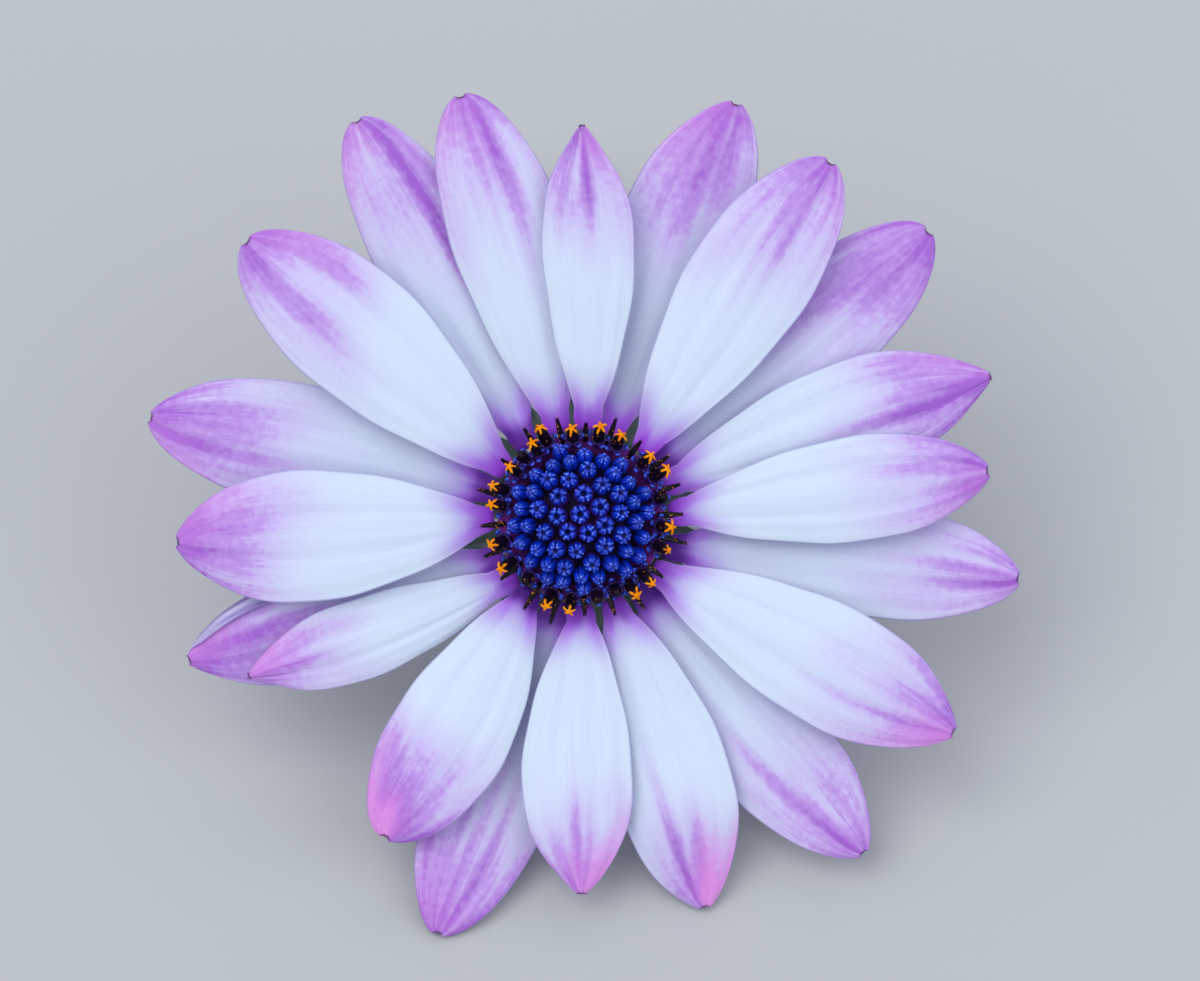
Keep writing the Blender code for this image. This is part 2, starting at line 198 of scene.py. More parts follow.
def turned(profile, segments):
    # A closed round body from (radius, height) pairs that run from the top pole to the bottom one.
    profile = np.asarray(profile, float)
    angles = np.linspace(0, 2 * math.pi, segments, endpoint=False)
    inner = profile[1:-1]
    rings = np.stack([
        np.outer(inner[:, 0], np.cos(angles)),
        np.outer(inner[:, 0], np.sin(angles)),
        np.repeat(inner[:, 1:], segments, axis=1),
    ], axis=-1)
    points = np.concatenate([[[0, 0, profile[0, 1]]], rings.reshape(-1, 3), [[0, 0, profile[-1, 1]]]])
    faces = []
    last = len(points) - 1
    for step in range(segments):
        after = (step + 1) % segments
        faces.append((0, 1 + step, 1 + after))
        for ring in range(len(inner) - 1):
            start = 1 + ring * segments
            faces.append((start + step, start + segments + step, start + segments + after, start + after))
        start = 1 + (len(inner) - 1) * segments
        faces.append((start + after, start + step, last))
    return points, faces


def newTree(name, sockets):
    # An empty Geometry Nodes tree with named inputs, and the sockets that carry them.
    tree = bpy.data.node_groups.new(name, "GeometryNodeTree")
    tree.interface.new_socket("Geometry", in_out="OUTPUT", socket_type="NodeSocketGeometry")
    for label, kind in sockets.items():
        tree.interface.new_socket(label, in_out="INPUT", socket_type="NodeSocket" + kind)
    return tree, tree.nodes.new("NodeGroupInput").outputs


def closeTree(tree, geometry, finish):
    real = addNode(tree, "GeometryNodeRealizeInstances", inputs={"Geometry": geometry})
    done = addNode(tree, "GeometryNodeSetMaterial", inputs={"Geometry": real, "Material": finish})
    tree.links.new(done, tree.nodes.new("NodeGroupOutput").inputs[0])


def grow(name, tree, inputs, base=None):
    # Runs a tree on a base mesh and keeps the result as a plain mesh.
    piece = newObject(name, base or bpy.data.meshes.new(name))
    modifier = piece.modifiers.new("grow", "NODES")
    modifier.node_group = tree
    for item in tree.interface.items_tree:
        if item.in_out == "INPUT" and item.name in inputs:
            modifier[item.identifier] = inputs[item.name]
    graph = bpy.context.evaluated_depsgraph_get()
    mesh = bpy.data.meshes.new_from_object(piece.evaluated_get(graph))
    piece.modifiers.clear()
    piece.data = mesh
    mesh.name = name
    mesh.shade_smooth()
    return piece


# petals: twenty ray florets, thin satin blades with three lobes and a toothed tip
# The rows repeat the CAD's own: root azimuth, tip azimuth, reach, width, sideways bow, layer,
# lift and sharpness of the tip. Sizes are millimetres and angles are degrees.
petalShape = {
    1: (85.5, 90.0, 33.7, 7.9, -0.4, 2, 0.3, 0.45),
    2: (69.5, 69.5, 38.1, 10.8, 0.7, 0, 0.4, 0.08),
    3: (47.5, 55.0, 37.2, 10.5, 0.3, 2, -0.4, 0.0),
    4: (32.5, 39.5, 38.8, 10.4, 0.0, 0, 0.2, 0.0),
    5: (21.0, 19.0, 37.4, 9.5, 0.6, 1, -0.5, 0.35),
    6: (2.0, 6.5, 35.2, 9.0, 0.0, 2, -0.6, 0.1),
    7: (339.0, 352.0, 38.1, 9.8, 0.5, 0, 0.5, 0.05),
    8: (323.5, 330.0, 37.0, 10.5, 0.0, 2, -0.7, 0.18),
    9: (309.5, 310.0, 37.9, 10.2, -0.4, 0, 0.4, 0.1),
    10: (291.0, 287.5, 35.4, 10.2, 0.5, 1, -1.48, 0.15),
    11: (270.5, 270.0, 32.4, 9.5, -0.4, 2, -0.4, 0.3),
    12: (253.5, 251.0, 37.9, 10.4, 0.4, 0, 1.6, 0.05),
    13: (234.5, 238.5, 32.2, 10.3, 0.4, 2, -0.3, 0.0),
    14: (222.5, 205.5, 31.8, 6.9, 0.4, 1, 0.4, 0.4),
    15: (206.5, 200.0, 36.2, 9.1, 0.5, 0, -0.4, 0.2),
    16: (181.5, 183.5, 34.8, 11.3, 0.3, 2, -0.5, 0.12),
    17: (163.5, 167.0, 38.2, 10.5, -0.4, 0, 0.4, 0.08),
    18: (148.5, 140.5, 37.2, 11.1, -0.4, 2, -0.3, 0.0),
    19: (128.0, 119.5, 39.3, 9.8, -0.5, 0, 0.6, 0.0),
    20: (104.5, 106.0, 37.7, 9.8, -0.5, 1, 0.0, 0.0),
}
petalForm = {
    "rootRadius": 7.5, "outerRadius": 38.0, "clawWidth": 1.7, "clawFlare": 0.8, "clawLength": 0.035,
    "widestPower": 1.36, "tipEnd": 0.997, "tipHalfWidth": 0.45, "camber": 0.45, "liftFrom": 0.66,
    "arch": 2.2, "archTurn": 0.62 * math.pi, "rootStep": 0.95, "layerStep": 1.5,
    "stepLength": 6.0,
    "rows": 76, "columns": 30,
    "thickness": 0.38, "edgeThickness": 0.11,
    "valleyAt": 0.36, "valleyDepth": 0.17,      # the two long grooves that part the lobes
    "wave": 0.16,                               # slow hills and dips of the whole blade
    "ripple": 0.05, "crease": 0.03, "foldRise": 0.5, "foldWidth": 0.34,
    "notchDepth": 0.34, "notchHalf": 0.36, "notchFade": 0.8, "toothPitch": 0.24, "toothHeight": 0.18,
}
# What each petal wears: where the violet starts, how strong it gets, how pink the tip is, the
# side the pink leans to, how much painted shade darkens its root where the petals above would
# shade it (this also carries the root's purple further out), and streaks as (place across,
# width, strength, how far down it runs).
# Across is -1 to 1 and positive is the counter-clockwise side.
petalTint = {
    1: (0.42, 0.78, 0.35, -0.3, 0.3, [(0.0, 0.1, 0.7, 0.45)]),
    2: (0.36, 0.85, 0.3, 0.2, 0.0, [
        (-0.3, 0.1, 0.25, 0.45), (0.05, 0.12, 0.55, 0.35), (0.35, 0.1, 0.3, 0.45)]),
    3: (0.4, 0.75, 0.15, -0.4, 0.0, [(0.12, 0.07, 0.4, 0.42), (-0.18, 0.06, 0.4, 0.42)]),
    4: (0.2, 0.95, 0.1, 0.0, 0.8, [(0.2, 0.2, 0.3, 0.3)]),
    5: (0.42, 1.0, 0.25, 0.3, 0.2, [(-0.28, 0.1, 0.9, 0.4), (0.05, 0.1, 0.4, 0.55)]),
    6: (0.45, 0.85, 0.25, -0.3, 0.1, [(0.15, 0.1, 0.25, 0.55), (-0.4, 0.25, 0.3, 0.6)]),
    7: (0.46, 0.7, 0.1, -0.5, 0.9, [(-0.22, 0.09, 0.4, 0.45), (0.12, 0.08, 0.35, 0.4)]),
    8: (0.48, 0.8, 0.6, -0.7, 0.2, [(-0.3, 0.07, 0.6, 0.4), (0.1, 0.2, 0.3, 0.6)]),
    9: (0.36, 0.72, 0.1, 0.0, 0.9, [(-0.32, 0.1, 0.55, 0.25)]),
    10: (0.55, 0.65, 1.0, 0.7, 0.5, [(-0.3, 0.1, 0.8, 0.4), (0.1, 0.12, 0.7, 0.58)]),
    11: (0.52, 0.75, 0.85, 0.15, 0.5, [(-0.1, 0.07, 0.4, 0.4), (0.22, 0.07, 0.35, 0.5)]),
    12: (0.25, 1.0, 0.25, -0.2, 0.8, [
        (-0.35, 0.07, 0.35, 0.3), (0.0, 0.07, 0.45, 0.25), (0.32, 0.07, 0.4, 0.3)]),
    13: (0.48, 1.1, 0.9, -0.6, 1.0, [(-0.35, 0.2, 0.6, 0.5)]),
    14: (0.45, 0.8, 0.55, -0.2, 0.4, [(0.1, 0.08, 0.3, 0.5)]),
    15: (0.22, 1.05, 0.6, -0.2, 0.7, [(-0.2, 0.1, 0.35, 0.3)]),
    16: (0.46, 0.95, 0.35, -0.2, 0.2, [(-0.2, 0.08, 0.4, 0.45), (0.1, 0.14, 0.3, 0.45)]),
    17: (0.38, 0.9, 0.2, 0.3, 0.8, [(-0.05, 0.12, 0.5, 0.5), (0.36, 0.1, 0.65, 0.4)]),
    18: (0.42, 0.8, 0.25, -0.2, 0.1, [(0.28, 0.18, 0.45, 0.35), (-0.15, 0.15, 0.25, 0.6)]),
    19: (0.34, 0.62, 0.25, 0.5, 0.8, [(-0.33, 0.12, 1.2, 0.3), (-0.6, 0.15, 0.4, 0.55)]),
    20: (0.4, 0.7, 0.25, 0.2, 0.3, [(0.1, 0.08, 0.4, 0.4), (-0.25, 0.14, 0.6, 0.28)]),
}
# The upper edge of petal 15 is rolled over its own face: side, width as a share, and where.
rolledEdge = {15: (-1, 0.34, 0.4)}
# Where the markings run, as shares of a petal's length. The glow at the tip and the dark of the
# teeth are given by the millimetres that they reach back.
petalMarks = {
    "washEnd": 0.97, "washPatch": 0.14, "glow": 0.42, "glowReach": (0.4, 4.0),
    "streakFade": 0.4, "streakDrift": 0.05, "pinkFrom": (0.66, 0.92),
    "sideAt": (0.58, 0.24), "sideUntil": (0.1, 0.24), "sideShare": 0.35,
    # deep: how far up a petal the painted shade at its root reaches.
    "base": (0.02, 0.17, 0.06), "heart": (0.01, 0.085, 0.035), "deep": (0.045, 0.095),
    "marginAt": (0.85, 0.2), "marginFrom": (0.03, 0.08), "marginUntil": (0.08, 0.26),
    "toothWidth": 0.42, "toothReach": (0.08, 0.4),
}


def petalDepth(radius, layer):
    form = petalForm
    share = (radius - form["rootRadius"]) / (form["outerRadius"] - form["rootRadius"])
    rise = form["layerStep"] - form["rootStep"]
    step = form["rootStep"] + rise * smooth(radius - form["rootRadius"], 0, form["stepLength"])
    return form["arch"] * np.sin(form["archTurn"] * share) + layer * step


def petalHalfWidth(along, width, sharp):
    form = petalForm
    swell = np.sin(math.pi * np.clip(along, 0, 1) ** form["widestPower"])
    power = 0.5 + sharp * smooth(along, 0.6, 1)
    claw = form["clawWidth"] + form["clawFlare"] * smooth(along, 0, form["clawLength"])
    tip = form["tipHalfWidth"] - 0.2 * smooth(sharp, 0.2, 0.45)
    least = np.where(along < 0.5, claw / 2, tip)
    return np.maximum(least, np.maximum(swell, 0) ** power * width / 2)


def patchesOn(along, across, pace, seed):
    # Smooth random values over a petal.
    return np.array([
        noise.noise(Vector((pace[0] * a, pace[1] * c, seed))) for a, c in zip(along.ravel(), across.ravel())
    ]).reshape(along.shape)


def buildPetal(number, material):
    form, marks = petalForm, petalMarks
    rootTurn, tipTurn, reach, width, bow, layer, lift, sharp = petalShape[number]
    root = reachAt(form["rootRadius"], rootTurn)
    run = reachAt(reach, tipTurn) - root
    length = np.hypot(*run)
    ahead = run / length
    aside = np.array([-ahead[1], ahead[0]])
    u, s = gridOf(form["rows"], form["columns"])
    across = s * (1.3 - 0.3 * s * s)                       # columns crowd towards the edges
    along = form["tipEnd"] * (1 - (1 - u) ** 1.5)          # rows crowd towards the tip
    folded = np.zeros_like(across)
    if number in rolledEdge:
        side, share, start = rolledEdge[number]
        strip = share * smooth(along, start, start + 0.2) * (1 - smooth(along, 0.93, 1))
        reached = side * across + (1 + side * across) / 2 * strip
        folded = np.maximum(reached - 1, 0)
        across = side * np.where(reached > 1, 2 - reached, reached)
    half = petalHalfWidth(along, width, sharp)
    ripple = form["ripple"] * np.sin(23 * along + number) * smooth(np.abs(across), 0.6, 1)
    sideways = across * half + bow * np.sin(math.pi * along) + ripple
    # The tip: two rounded shoulders with three small teeth set back between them.
    back = (1 - along) * length
    setBack = 1 - smooth(np.abs(sideways), 0.6 * form["notchHalf"], 1.35 * form["notchHalf"])
    teeth = form["toothHeight"] * np.abs(np.cos(math.pi * sideways / form["toothPitch"])) ** 0.7
    forward = along * length - np.exp(-back / form["notchFade"]) * setBack * (form["notchDepth"] - teeth)
    flat = root + forward[..., None] * ahead + sideways[..., None] * aside
    radius = np.hypot(flat[..., 0], flat[..., 1])
    grown = smooth(along, 0.03, 0.3)
    valley = bell(np.abs(across) - form["valleyAt"], 0.12) * grown * (1 - 0.4 * smooth(along, 0.9, 1))
    creases = form["crease"] * np.cos(across * 21 + number) * grown
    hills = patchesOn(along, across, (2.6, 0.9), 3.7 * number)
    height = (
        petalDepth(radius, layer)
        - form["camber"] * smooth(along, 0, 0.4) * across**2
        + lift * smooth(along, form["liftFrom"], 1)
        - form["valleyDepth"] * valley
        + creases
        + form["wave"] * hills * grown
        + form["foldRise"] * np.sqrt(folded / form["foldWidth"])
    )
    middle = np.dstack([flat, height]) * mm
    thin = form["edgeThickness"] + (form["thickness"] - form["edgeThickness"]) * (
        1 - np.abs(across) ** 3) * (1 - 0.6 * smooth(along, 0.9, 1))
    points, faces = blade(middle, thin * mm)
    # Colour masks, worked out from where a point lies along and across the petal.
    start, strength, pink, pinkSide, rootShade, streaks = petalTint[number]
    patchy = patchesOn(along, across, (4.2, 1.9), 11.3 * number + 5)
    line = np.zeros_like(along)
    for place, wide, power, down in streaks:
        drift = place + marks["streakDrift"] * np.sin(5 * along + number)
        window = smooth(along, down, down + marks["streakFade"]) * (1 - 0.35 * smooth(along, 0.9, 1))
        line = np.maximum(line, power * window * bell(across - drift, wide * (0.8 + 0.7 * along)))
    wash = strength * smooth(along + marks["washPatch"] * patchy, start, marks["washEnd"])
    pinkAcross = across * np.sign(pinkSide)
    tipPink = pink * smooth(along - 0.1 * (1 - pinkAcross) + 0.1 * patchy, *marks["pinkFrom"])
    sideStreak = bell(np.abs(across) - marks["sideAt"][0], marks["sideAt"][1])
    sideStreak *= 1 - smooth(along, *marks["sideUntil"])
    baseFrom, baseTo, baseMore = marks["base"]
    rootWash = 1 - smooth(along, baseFrom, baseTo + baseMore * rootShade)
    heartFrom, heartTo, heartMore = marks["heart"]
    margin = bell(np.abs(across) - marks["marginAt"][0], marks["marginAt"][1])
    margin *= smooth(along, *marks["marginFrom"]) * (1 - smooth(along, *marks["marginUntil"]))
    masks = {
        "violet": wash + marks["glow"] * (1 - smooth(back, *marks["glowReach"])),
        "streak": line,
        "pink": tipPink * smooth(pinkAcross * abs(pinkSide), -0.5, 0.1),
        "base": rootWash + marks["sideShare"] * sideStreak,
        "heart": 1 - smooth(along + 0.03 * patchy, heartFrom, heartTo + heartMore * rootShade),
        # Painted shade at the root of a petal that lies under its neighbours.
        "deep": rootShade * (1 - smooth(along + 0.02 * patchy, *marks["deep"])),
        "margin": margin,
        "tooth": bell(sideways, marks["toothWidth"]) * (1 - smooth(back, *marks["toothReach"])),
        # A thin line of painted shade along the rim.
        "edge": smooth(np.abs(s), 0.93, 1.0),
    }
    values = {key: np.tile(mask.ravel(), 2) for key, mask in masks.items()}
    values["underside"] = np.repeat([0.0, 1.0], along.size)
    values["seed"] = np.full(2 * along.size, 1.7 * number)
    mesh = meshOf(f"petal_{number:02d}", points, faces, material, values, bladeMap(along, s))
    mesh.transform(faceToWorld)
    return newObject(f"petal_{number:02d}", mesh)


# Living petal tissue: a soft satin skin over cells that pass some light, so it looks
# milky and cool where it is pale and glows violet where pigment lies in long streaks.
# The edge tone paints a thin line of shade along each petal's rim.
petalColours = {
    "pale": "#D0DDF0", "cool": "#C8D3EE", "lilac": "#C6A6E4", "violet": "#9F60C8", "pink": "#DC8EDC",
    # deep is painted shade for the feet of the petals that lie under others.
    "base": "#B688EE", "margin": "#A54ED4", "heart": "#AC48EC", "deep": "#521C8E", "edge": "#8C78CC",
    "tooth": "#2A0F3C", "underPale": "#C7BFE2", "underStripe": "#8C76B8",
}
# Patterns along a petal as (scale along and across, detail, roughness), and the shares made
# from them as (pattern, its low and high value, what they become).
petalPatterns = {"wide": ((2.4, 7.0, 1.0), 3.0, 0.55), "fine": ((5.0, 40.0, 1.0), 2.0, 0.5)}
petalShares = {
    "streaky": ("wide", 0.34, 0.66, 0.6, 1.25), "hairline": ("fine", 0.3, 0.7, 0.86, 1.14),
    "grainy": ("mottle", 0.3, 0.7, 0.82, 1.16), "cool": ("fine", 0.45, 0.75, 0.0, 0.45),
    "stripes": ("fine", 0.4, 0.62, 0.0, 1.0), "rough": ("mottle", 0.3, 0.7, 0.42, 0.56),
}
pigmentSteps = {"lilac": (0.0, 0.7), "violet": (0.5, 1.35)}


def petalMaterial():
    tone = petalColours
    material, tree, shader = newMaterial("petalTissue", {
        "Roughness": 0.48, "IOR": 1.4, "Specular IOR Level": 0.35,
        "Subsurface Weight": 0.18, "Subsurface Radius": (0.9, 0.7, 1.0), "Subsurface Scale": 0.001,
        "Sheen Weight": 0.08, "Sheen Roughness": 0.5,
    })
    mask = readMasks(tree, "violet", "streak", "pink", "base", "margin", "heart", "deep", "edge",
                     "tooth", "underside", "seed")
    surface = addNode(tree, "ShaderNodeUVMap", {"uv_map": "surfaceMap"})
    place = addNode(tree, "ShaderNodeTexCoord", output=3)
    pattern, share = {}, {}
    for name, (scale, detail, rough) in petalPatterns.items():
        at = addNode(tree, "ShaderNodeMapping", inputs={"Vector": surface, "Scale": scale})
        pattern[name] = addNode(tree, "ShaderNodeTexNoise", {"noise_dimensions": "4D"}, {
            "Vector": at, "W": mask["seed"], "Scale": 1.0, "Detail": detail, "Roughness": rough})
    # Patches of pigment about 0.6 mm across, as the cells share it out.
    pattern["mottle"] = addNode(tree, "ShaderNodeTexNoise", inputs={
        "Vector": place, "Scale": 1600.0, "Detail": 2.0, "Roughness": 0.6})
    for name, (source, *limits) in petalShares.items():
        share[name] = addNode(tree, "ShaderNodeMapRange", inputs={
            0: pattern[source], **dict(enumerate(limits, 1))})
    amount = mask["violet"]
    for operation, value in (("MULTIPLY", share["streaky"]), ("ADD", mask["streak"]),
                             ("MULTIPLY", share["hairline"]), ("MULTIPLY", share["grainy"])):
        amount = addNode(tree, "ShaderNodeMath", {"operation": operation}, {0: amount, 1: value})
    for name, (low, high) in pigmentSteps.items():
        share[name] = addNode(tree, "ShaderNodeMapRange", inputs={0: amount, 1: low, 2: high})
    for name, factor in (("pink", share["grainy"]), ("base", share["hairline"]), ("margin", 0.4),
                         ("heart", share["hairline"]), ("deep", 1.0), ("edge", 0.55), ("tooth", 1.0)):
        share[name] = addNode(tree, "ShaderNodeMath", {"operation": "MULTIPLY"}, {0: mask[name], 1: factor})
    layers = ("cool", "lilac", "violet", "pink", "base", "margin", "heart", "deep", "edge", "tooth")
    above = overlay(tree, tone["pale"], *[(share[name], tone[name]) for name in layers])
    below = overlay(tree, tone["underPale"], (share["stripes"], tone["underStripe"]))
    # Fine long veins and the pebbling of the skin, cells about 0.12 mm drawn at twice that.
    cells = addNode(tree, "ShaderNodeTexNoise", inputs={"Vector": place, "Scale": 4200.0, "Detail": 1.0})
    relief = addNode(tree, "ShaderNodeMix", {"data_type": "FLOAT"}, {0: 0.35, 2: pattern["fine"], 3: cells})
    bump = addNode(tree, "ShaderNodeBump", inputs={"Strength": 0.4, "Distance": 0.00006, "Height": relief})
    colour = overlay(tree, above, (mask["underside"], below))
    dress(tree, shader, {"Base Color": colour, "Normal": bump, "Roughness": share["rough"]})
    return material


print("petals")
petalSkin = petalMaterial()
for number in petalShape:
    finishPiece(buildPetal(number, petalSkin), "petal", f"ray_floret_{number:02d}")


# The disc: closed buds on a low dome. As in the CAD, each bud's place is its tip's azimuth in
# degrees and its distance from the axis in millimetres.
disc = {
    "foot": 2.6, "radius": 7.1, "side": 0.9, "domeBase": 2.6, "domeRadius": 5.5, "domeStart": 1.17,
    "tipRadius": 7.1, "flatness": 0.8, "budLength": 1.9, "budLean": 0.6, "seed": 7,
    "buds": [
        (108, 0.3), (294, 1.5), (227, 1.7), (29, 1.9), (177, 2.1), (84, 2.1), (342, 2.2), (137, 2.7),
        (262, 3.0), (310, 3.3), (57, 3.4), (202, 3.5), (108, 3.5), (7, 3.5), (232, 3.6), (169, 3.9),
        (32, 4.0), (337, 4.0), (283, 4.2), (82, 4.3), (131, 4.4), (252, 4.7), (216, 4.9), (189, 4.9),
        (152, 4.9), (53, 4.9), (16, 4.9), (355, 5.0), (303, 5.0), (101, 5.1), (323, 5.1), (235, 5.2),
        (119, 5.3), (36, 5.3), (270, 5.3), (172, 5.5), (69, 5.5), (87, 5.6), (137, 5.6), (286, 5.6),
        (342, 5.9), (203, 5.9), (221, 6.0), (53, 6.0), (4, 6.0), (254, 6.0), (187, 6.1), (158, 6.1),
        (21, 6.1), (310, 6.2), (108, 6.3), (326, 6.3), (241, 6.3), (272, 6.4),
    ],
}
# How a bud is made: how far from the axis its kind reaches, its outline as (radius, height)
# from the top down, how deep its five grooves are and from what height up, where its blue
# starts, how wide the painted shade in its hollow tip is, and its rings of beads as
# (radius, count, size, spread).
budStyles = {
    "inner_buds": {
        "until": 2.9,
        "outline": [(0, 1.4), (0.1, 1.46), (0.2, 1.7), (0.32, 1.86), (0.46, 1.88), (0.58, 1.78), (0.68, 1.62),
                    (0.78, 1.4), (0.83, 1.1), (0.83, 0.8), (0.72, 0.3), (0.55, -0.3), (0, -0.3)],
        "groove": 0.2, "grooveFrom": 0.9, "blueFrom": 1.6, "hollowShade": 0.19,
        "beads": [(0.33, 5, 0.17, 0.11), (0.58, 10, 0.14, 0.11)],
    },
    "middle_buds": {
        "until": 4.8,
        "outline": [(0, 1.62), (0.1, 1.7), (0.2, 1.84), (0.34, 1.9), (0.5, 1.8), (0.64, 1.58),
                    (0.74, 1.25), (0.77, 0.9), (0.74, 0.55), (0.62, 0.1), (0.52, -0.3), (0, -0.3)],
        "groove": 0.17, "grooveFrom": 0.7, "blueFrom": 1.28, "hollowShade": 0.16,
        "beads": [(0.3, 5, 0.15, 0.11), (0.54, 10, 0.12, 0.1)],
    },
    "rim_buds": {
        "until": 9.0,
        "outline": [(0, 1.92), (0.12, 1.94), (0.3, 1.86), (0.48, 1.66), (0.61, 1.38), (0.67, 1.0),
                    (0.65, 0.6), (0.54, 0.1), (0.45, -0.3), (0, -0.3)],
        "groove": 0.15, "grooveFrom": 0.2, "blueFrom": 0.8, "hollowShade": 0.07,
        "beads": [(0.24, 5, 0.09, 0.1), (0.44, 10, 0.06, 0.09)],
    },
}


def budMesh(name, chance):
    # One disc floret before it opens: a barrel of five lobes with glossy beads on its top.
    style = budStyles[name]
    path = np.array(style["outline"])
    run = runAlong(path)
    at = run[-1] * np.concatenate([[0], np.linspace(0.03, 0.93, 26) ** 1.25, [1]])
    outline = np.stack([np.interp(at, run, path[:, 0]), np.interp(at, run, path[:, 1])], axis=-1)
    points, faces = turned(outline, 55)
    x, y, height = points.T
    ring = np.hypot(x, y)
    upper = smooth(height, style["blueFrom"] - 0.2, style["blueFrom"] + 0.12)
    reach = smooth(height, style["grooveFrom"], style["grooveFrom"] + 0.5) * smooth(ring, 0.02, 0.22)
    groove = bell(np.sin(2.5 * np.arctan2(y, x)), 0.24) * reach
    swell = -style["groove"] * groove
    rough = np.array([noise.noise(Vector(point) * 7) for point in points])
    tone = 0.22 + 0.08 * smooth(height, 0.6, 1.3) + (0.26 + 0.2 * rough) * upper
    for radius, count, size, spread in style["beads"]:
        for index in range(count):
            at = radius * chance.uniform(0.9, 1.1)
            angle = 2 * math.pi * (index + 0.5 + chance.uniform(-0.13, 0.13)) / count
            away = np.hypot(x - at * math.cos(angle), y - at * math.sin(angle))
            beadAndHighlight = bell(away, spread * chance.uniform(0.8, 1.15)) * upper * chance.uniform(0.45, 1.2)
            swell = swell + size * beadAndHighlight
            # Painted highlight: the tone rises on each bead.
            tone = tone + 0.75 * beadAndHighlight**1.5
    # Painted shade: the tone drops in the grooves and in the hollow at the tip.
    tone = tone - 0.5 * groove * upper - 0.9 * bell(ring, style["hollowShade"])
    outward = np.stack([x, y, 1.2 * smooth(height, 1.0, 1.6) * ring], axis=-1)
    outward /= np.linalg.norm(outward, axis=1, keepdims=True) + 1e-9
    values = {"tone": np.clip(tone, 0, 1.3), "cap": upper}
    return meshOf("bud", (points + outward * swell[:, None]) * mm, faces, values=values)


# Disc florets: waxy living tissue, wet-looking on the beads, so each bead catches a small
# hard highlight from its coat; a paler painted highlight is laid on the beads as well, painted
# shade darkens the grooves and hollow tips, and the walls between the buds stay dark purple.
budColours = {
    # beadAndHighlight is a painted highlight on the beads; hollowShade is painted shade in grooves and
    # hollows.
    "gap": "#03041E", "wall": "#3C1C68", "hollowShade": "#040A46", "blue": "#0A32C4", "beadAndHighlight": "#6E9CFF",
    "shade": "#0A1C78",
}
budShares = {
    "wall": ("tone", 0.0, 0.3, 0.0, 1.0), "blue": ("tone", 0.1, 0.6, 0.0, 1.0),
    "beadAndHighlight": ("tone", 0.72, 1.2, 0.0, 0.85), "shade": ("mood", 0.9, -0.4, 0.0, 0.55),
}


def budMaterial():
    tone = budColours
    material, tree, shader = newMaterial("budWax", {
        "Roughness": 0.3, "IOR": 1.45, "Specular IOR Level": 0.35, "Coat Weight": 0.2,
        "Coat Roughness": 0.12, "Subsurface Weight": 0.04, "Subsurface Scale": 0.0004,
    })
    mask = readMasks(tree, "tone", "cap", "mood")
    place = addNode(tree, "ShaderNodeTexCoord", output=3)
    speckle = addNode(tree, "ShaderNodeTexNoise", inputs={"Vector": place, "Scale": 7000.0, "Detail": 2.0})
    share = {
        name: addNode(tree, "ShaderNodeMapRange", inputs={0: mask[source], **dict(enumerate(limits, 1))})
        for name, (source, *limits) in budShares.items()
    }
    wall = overlay(tree, tone["gap"], (share["wall"], tone["wall"]))
    crown = overlay(tree, tone["hollowShade"], (share["blue"], tone["blue"]))
    glints = [(share[name], tone[name]) for name in ("beadAndHighlight", "shade")]
    colour = overlay(tree, wall, (mask["cap"], crown), *glints)
    bump = addNode(tree, "ShaderNodeBump", inputs={"Strength": 0.7, "Distance": 0.00004, "Height": speckle})
    rough = addNode(tree, "ShaderNodeMapRange", inputs={0: speckle, 1: 0.3, 2: 0.7, 3: 0.2, 4: 0.36})
    dress(tree, shader, {"Base Color": colour, "Normal": bump, "Roughness": rough})
    return material


def standOn(tree, points, shape, aim, spin, size):
    # Stands a shape on each point, along the point's aim, spun about it and sized.
    copy = addNode(tree, "GeometryNodeObjectInfo", {"transform_space": "ORIGINAL"}, {
        "Object": shape, "As Instance": True}, 4)
    faced = addNode(tree, "FunctionNodeAlignRotationToVector", {"axis": "Z"}, {"Vector": aim})
    spun = addNode(tree, "FunctionNodeAxisAngleToRotation", inputs={"Axis": (0, 0, 1), "Angle": spin})
    rotation = addNode(tree, "FunctionNodeRotateRotation", {"rotation_space": "LOCAL"}, {0: faced, 1: spun})
    return addNode(tree, "GeometryNodeInstanceOnPoints", inputs={
        "Points": points, "Instance": copy, "Rotation": rotation, "Scale": size})


def placingTree():
    # Stands one shape on each point as the point's own aim, spin and size say.
    tree, given = newTree("shapeOnPoints", {
        "Geometry": "Geometry", "Shape": "Object", "Finish": "Material"})
    aim, spin, size = (
        addNode(tree, "GeometryNodeInputNamedAttribute", {"data_type": kind}, {"Name": name})
        for name, kind in (("aim", "FLOAT_VECTOR"), ("spin", "FLOAT"), ("size", "FLOAT_VECTOR"))
    )
    closeTree(tree, standOn(tree, given["Geometry"], given["Shape"], aim, spin, size), given["Finish"])
    return tree


def plantOn(name, rows, shapeMesh, finish, slot="disc", node="disc_florets"):
    # rows: (foot, aim, spin, size, mood) for each copy, in the bloom's frame.
    feet, *rest = (np.array(column) for column in zip(*rows))
    base = meshOf(name, feet, [], values=dict(zip(("aim", "spin", "size", "mood"), rest)))
    shape = newObject(name + "Shape", shapeMesh)
    piece = grow(name, placing, {"Shape": shape, "Finish": finish}, base)
    bpy.data.objects.remove(shape)
    piece.data.transform(faceToWorld)
    return finishPiece(piece, slot, node)


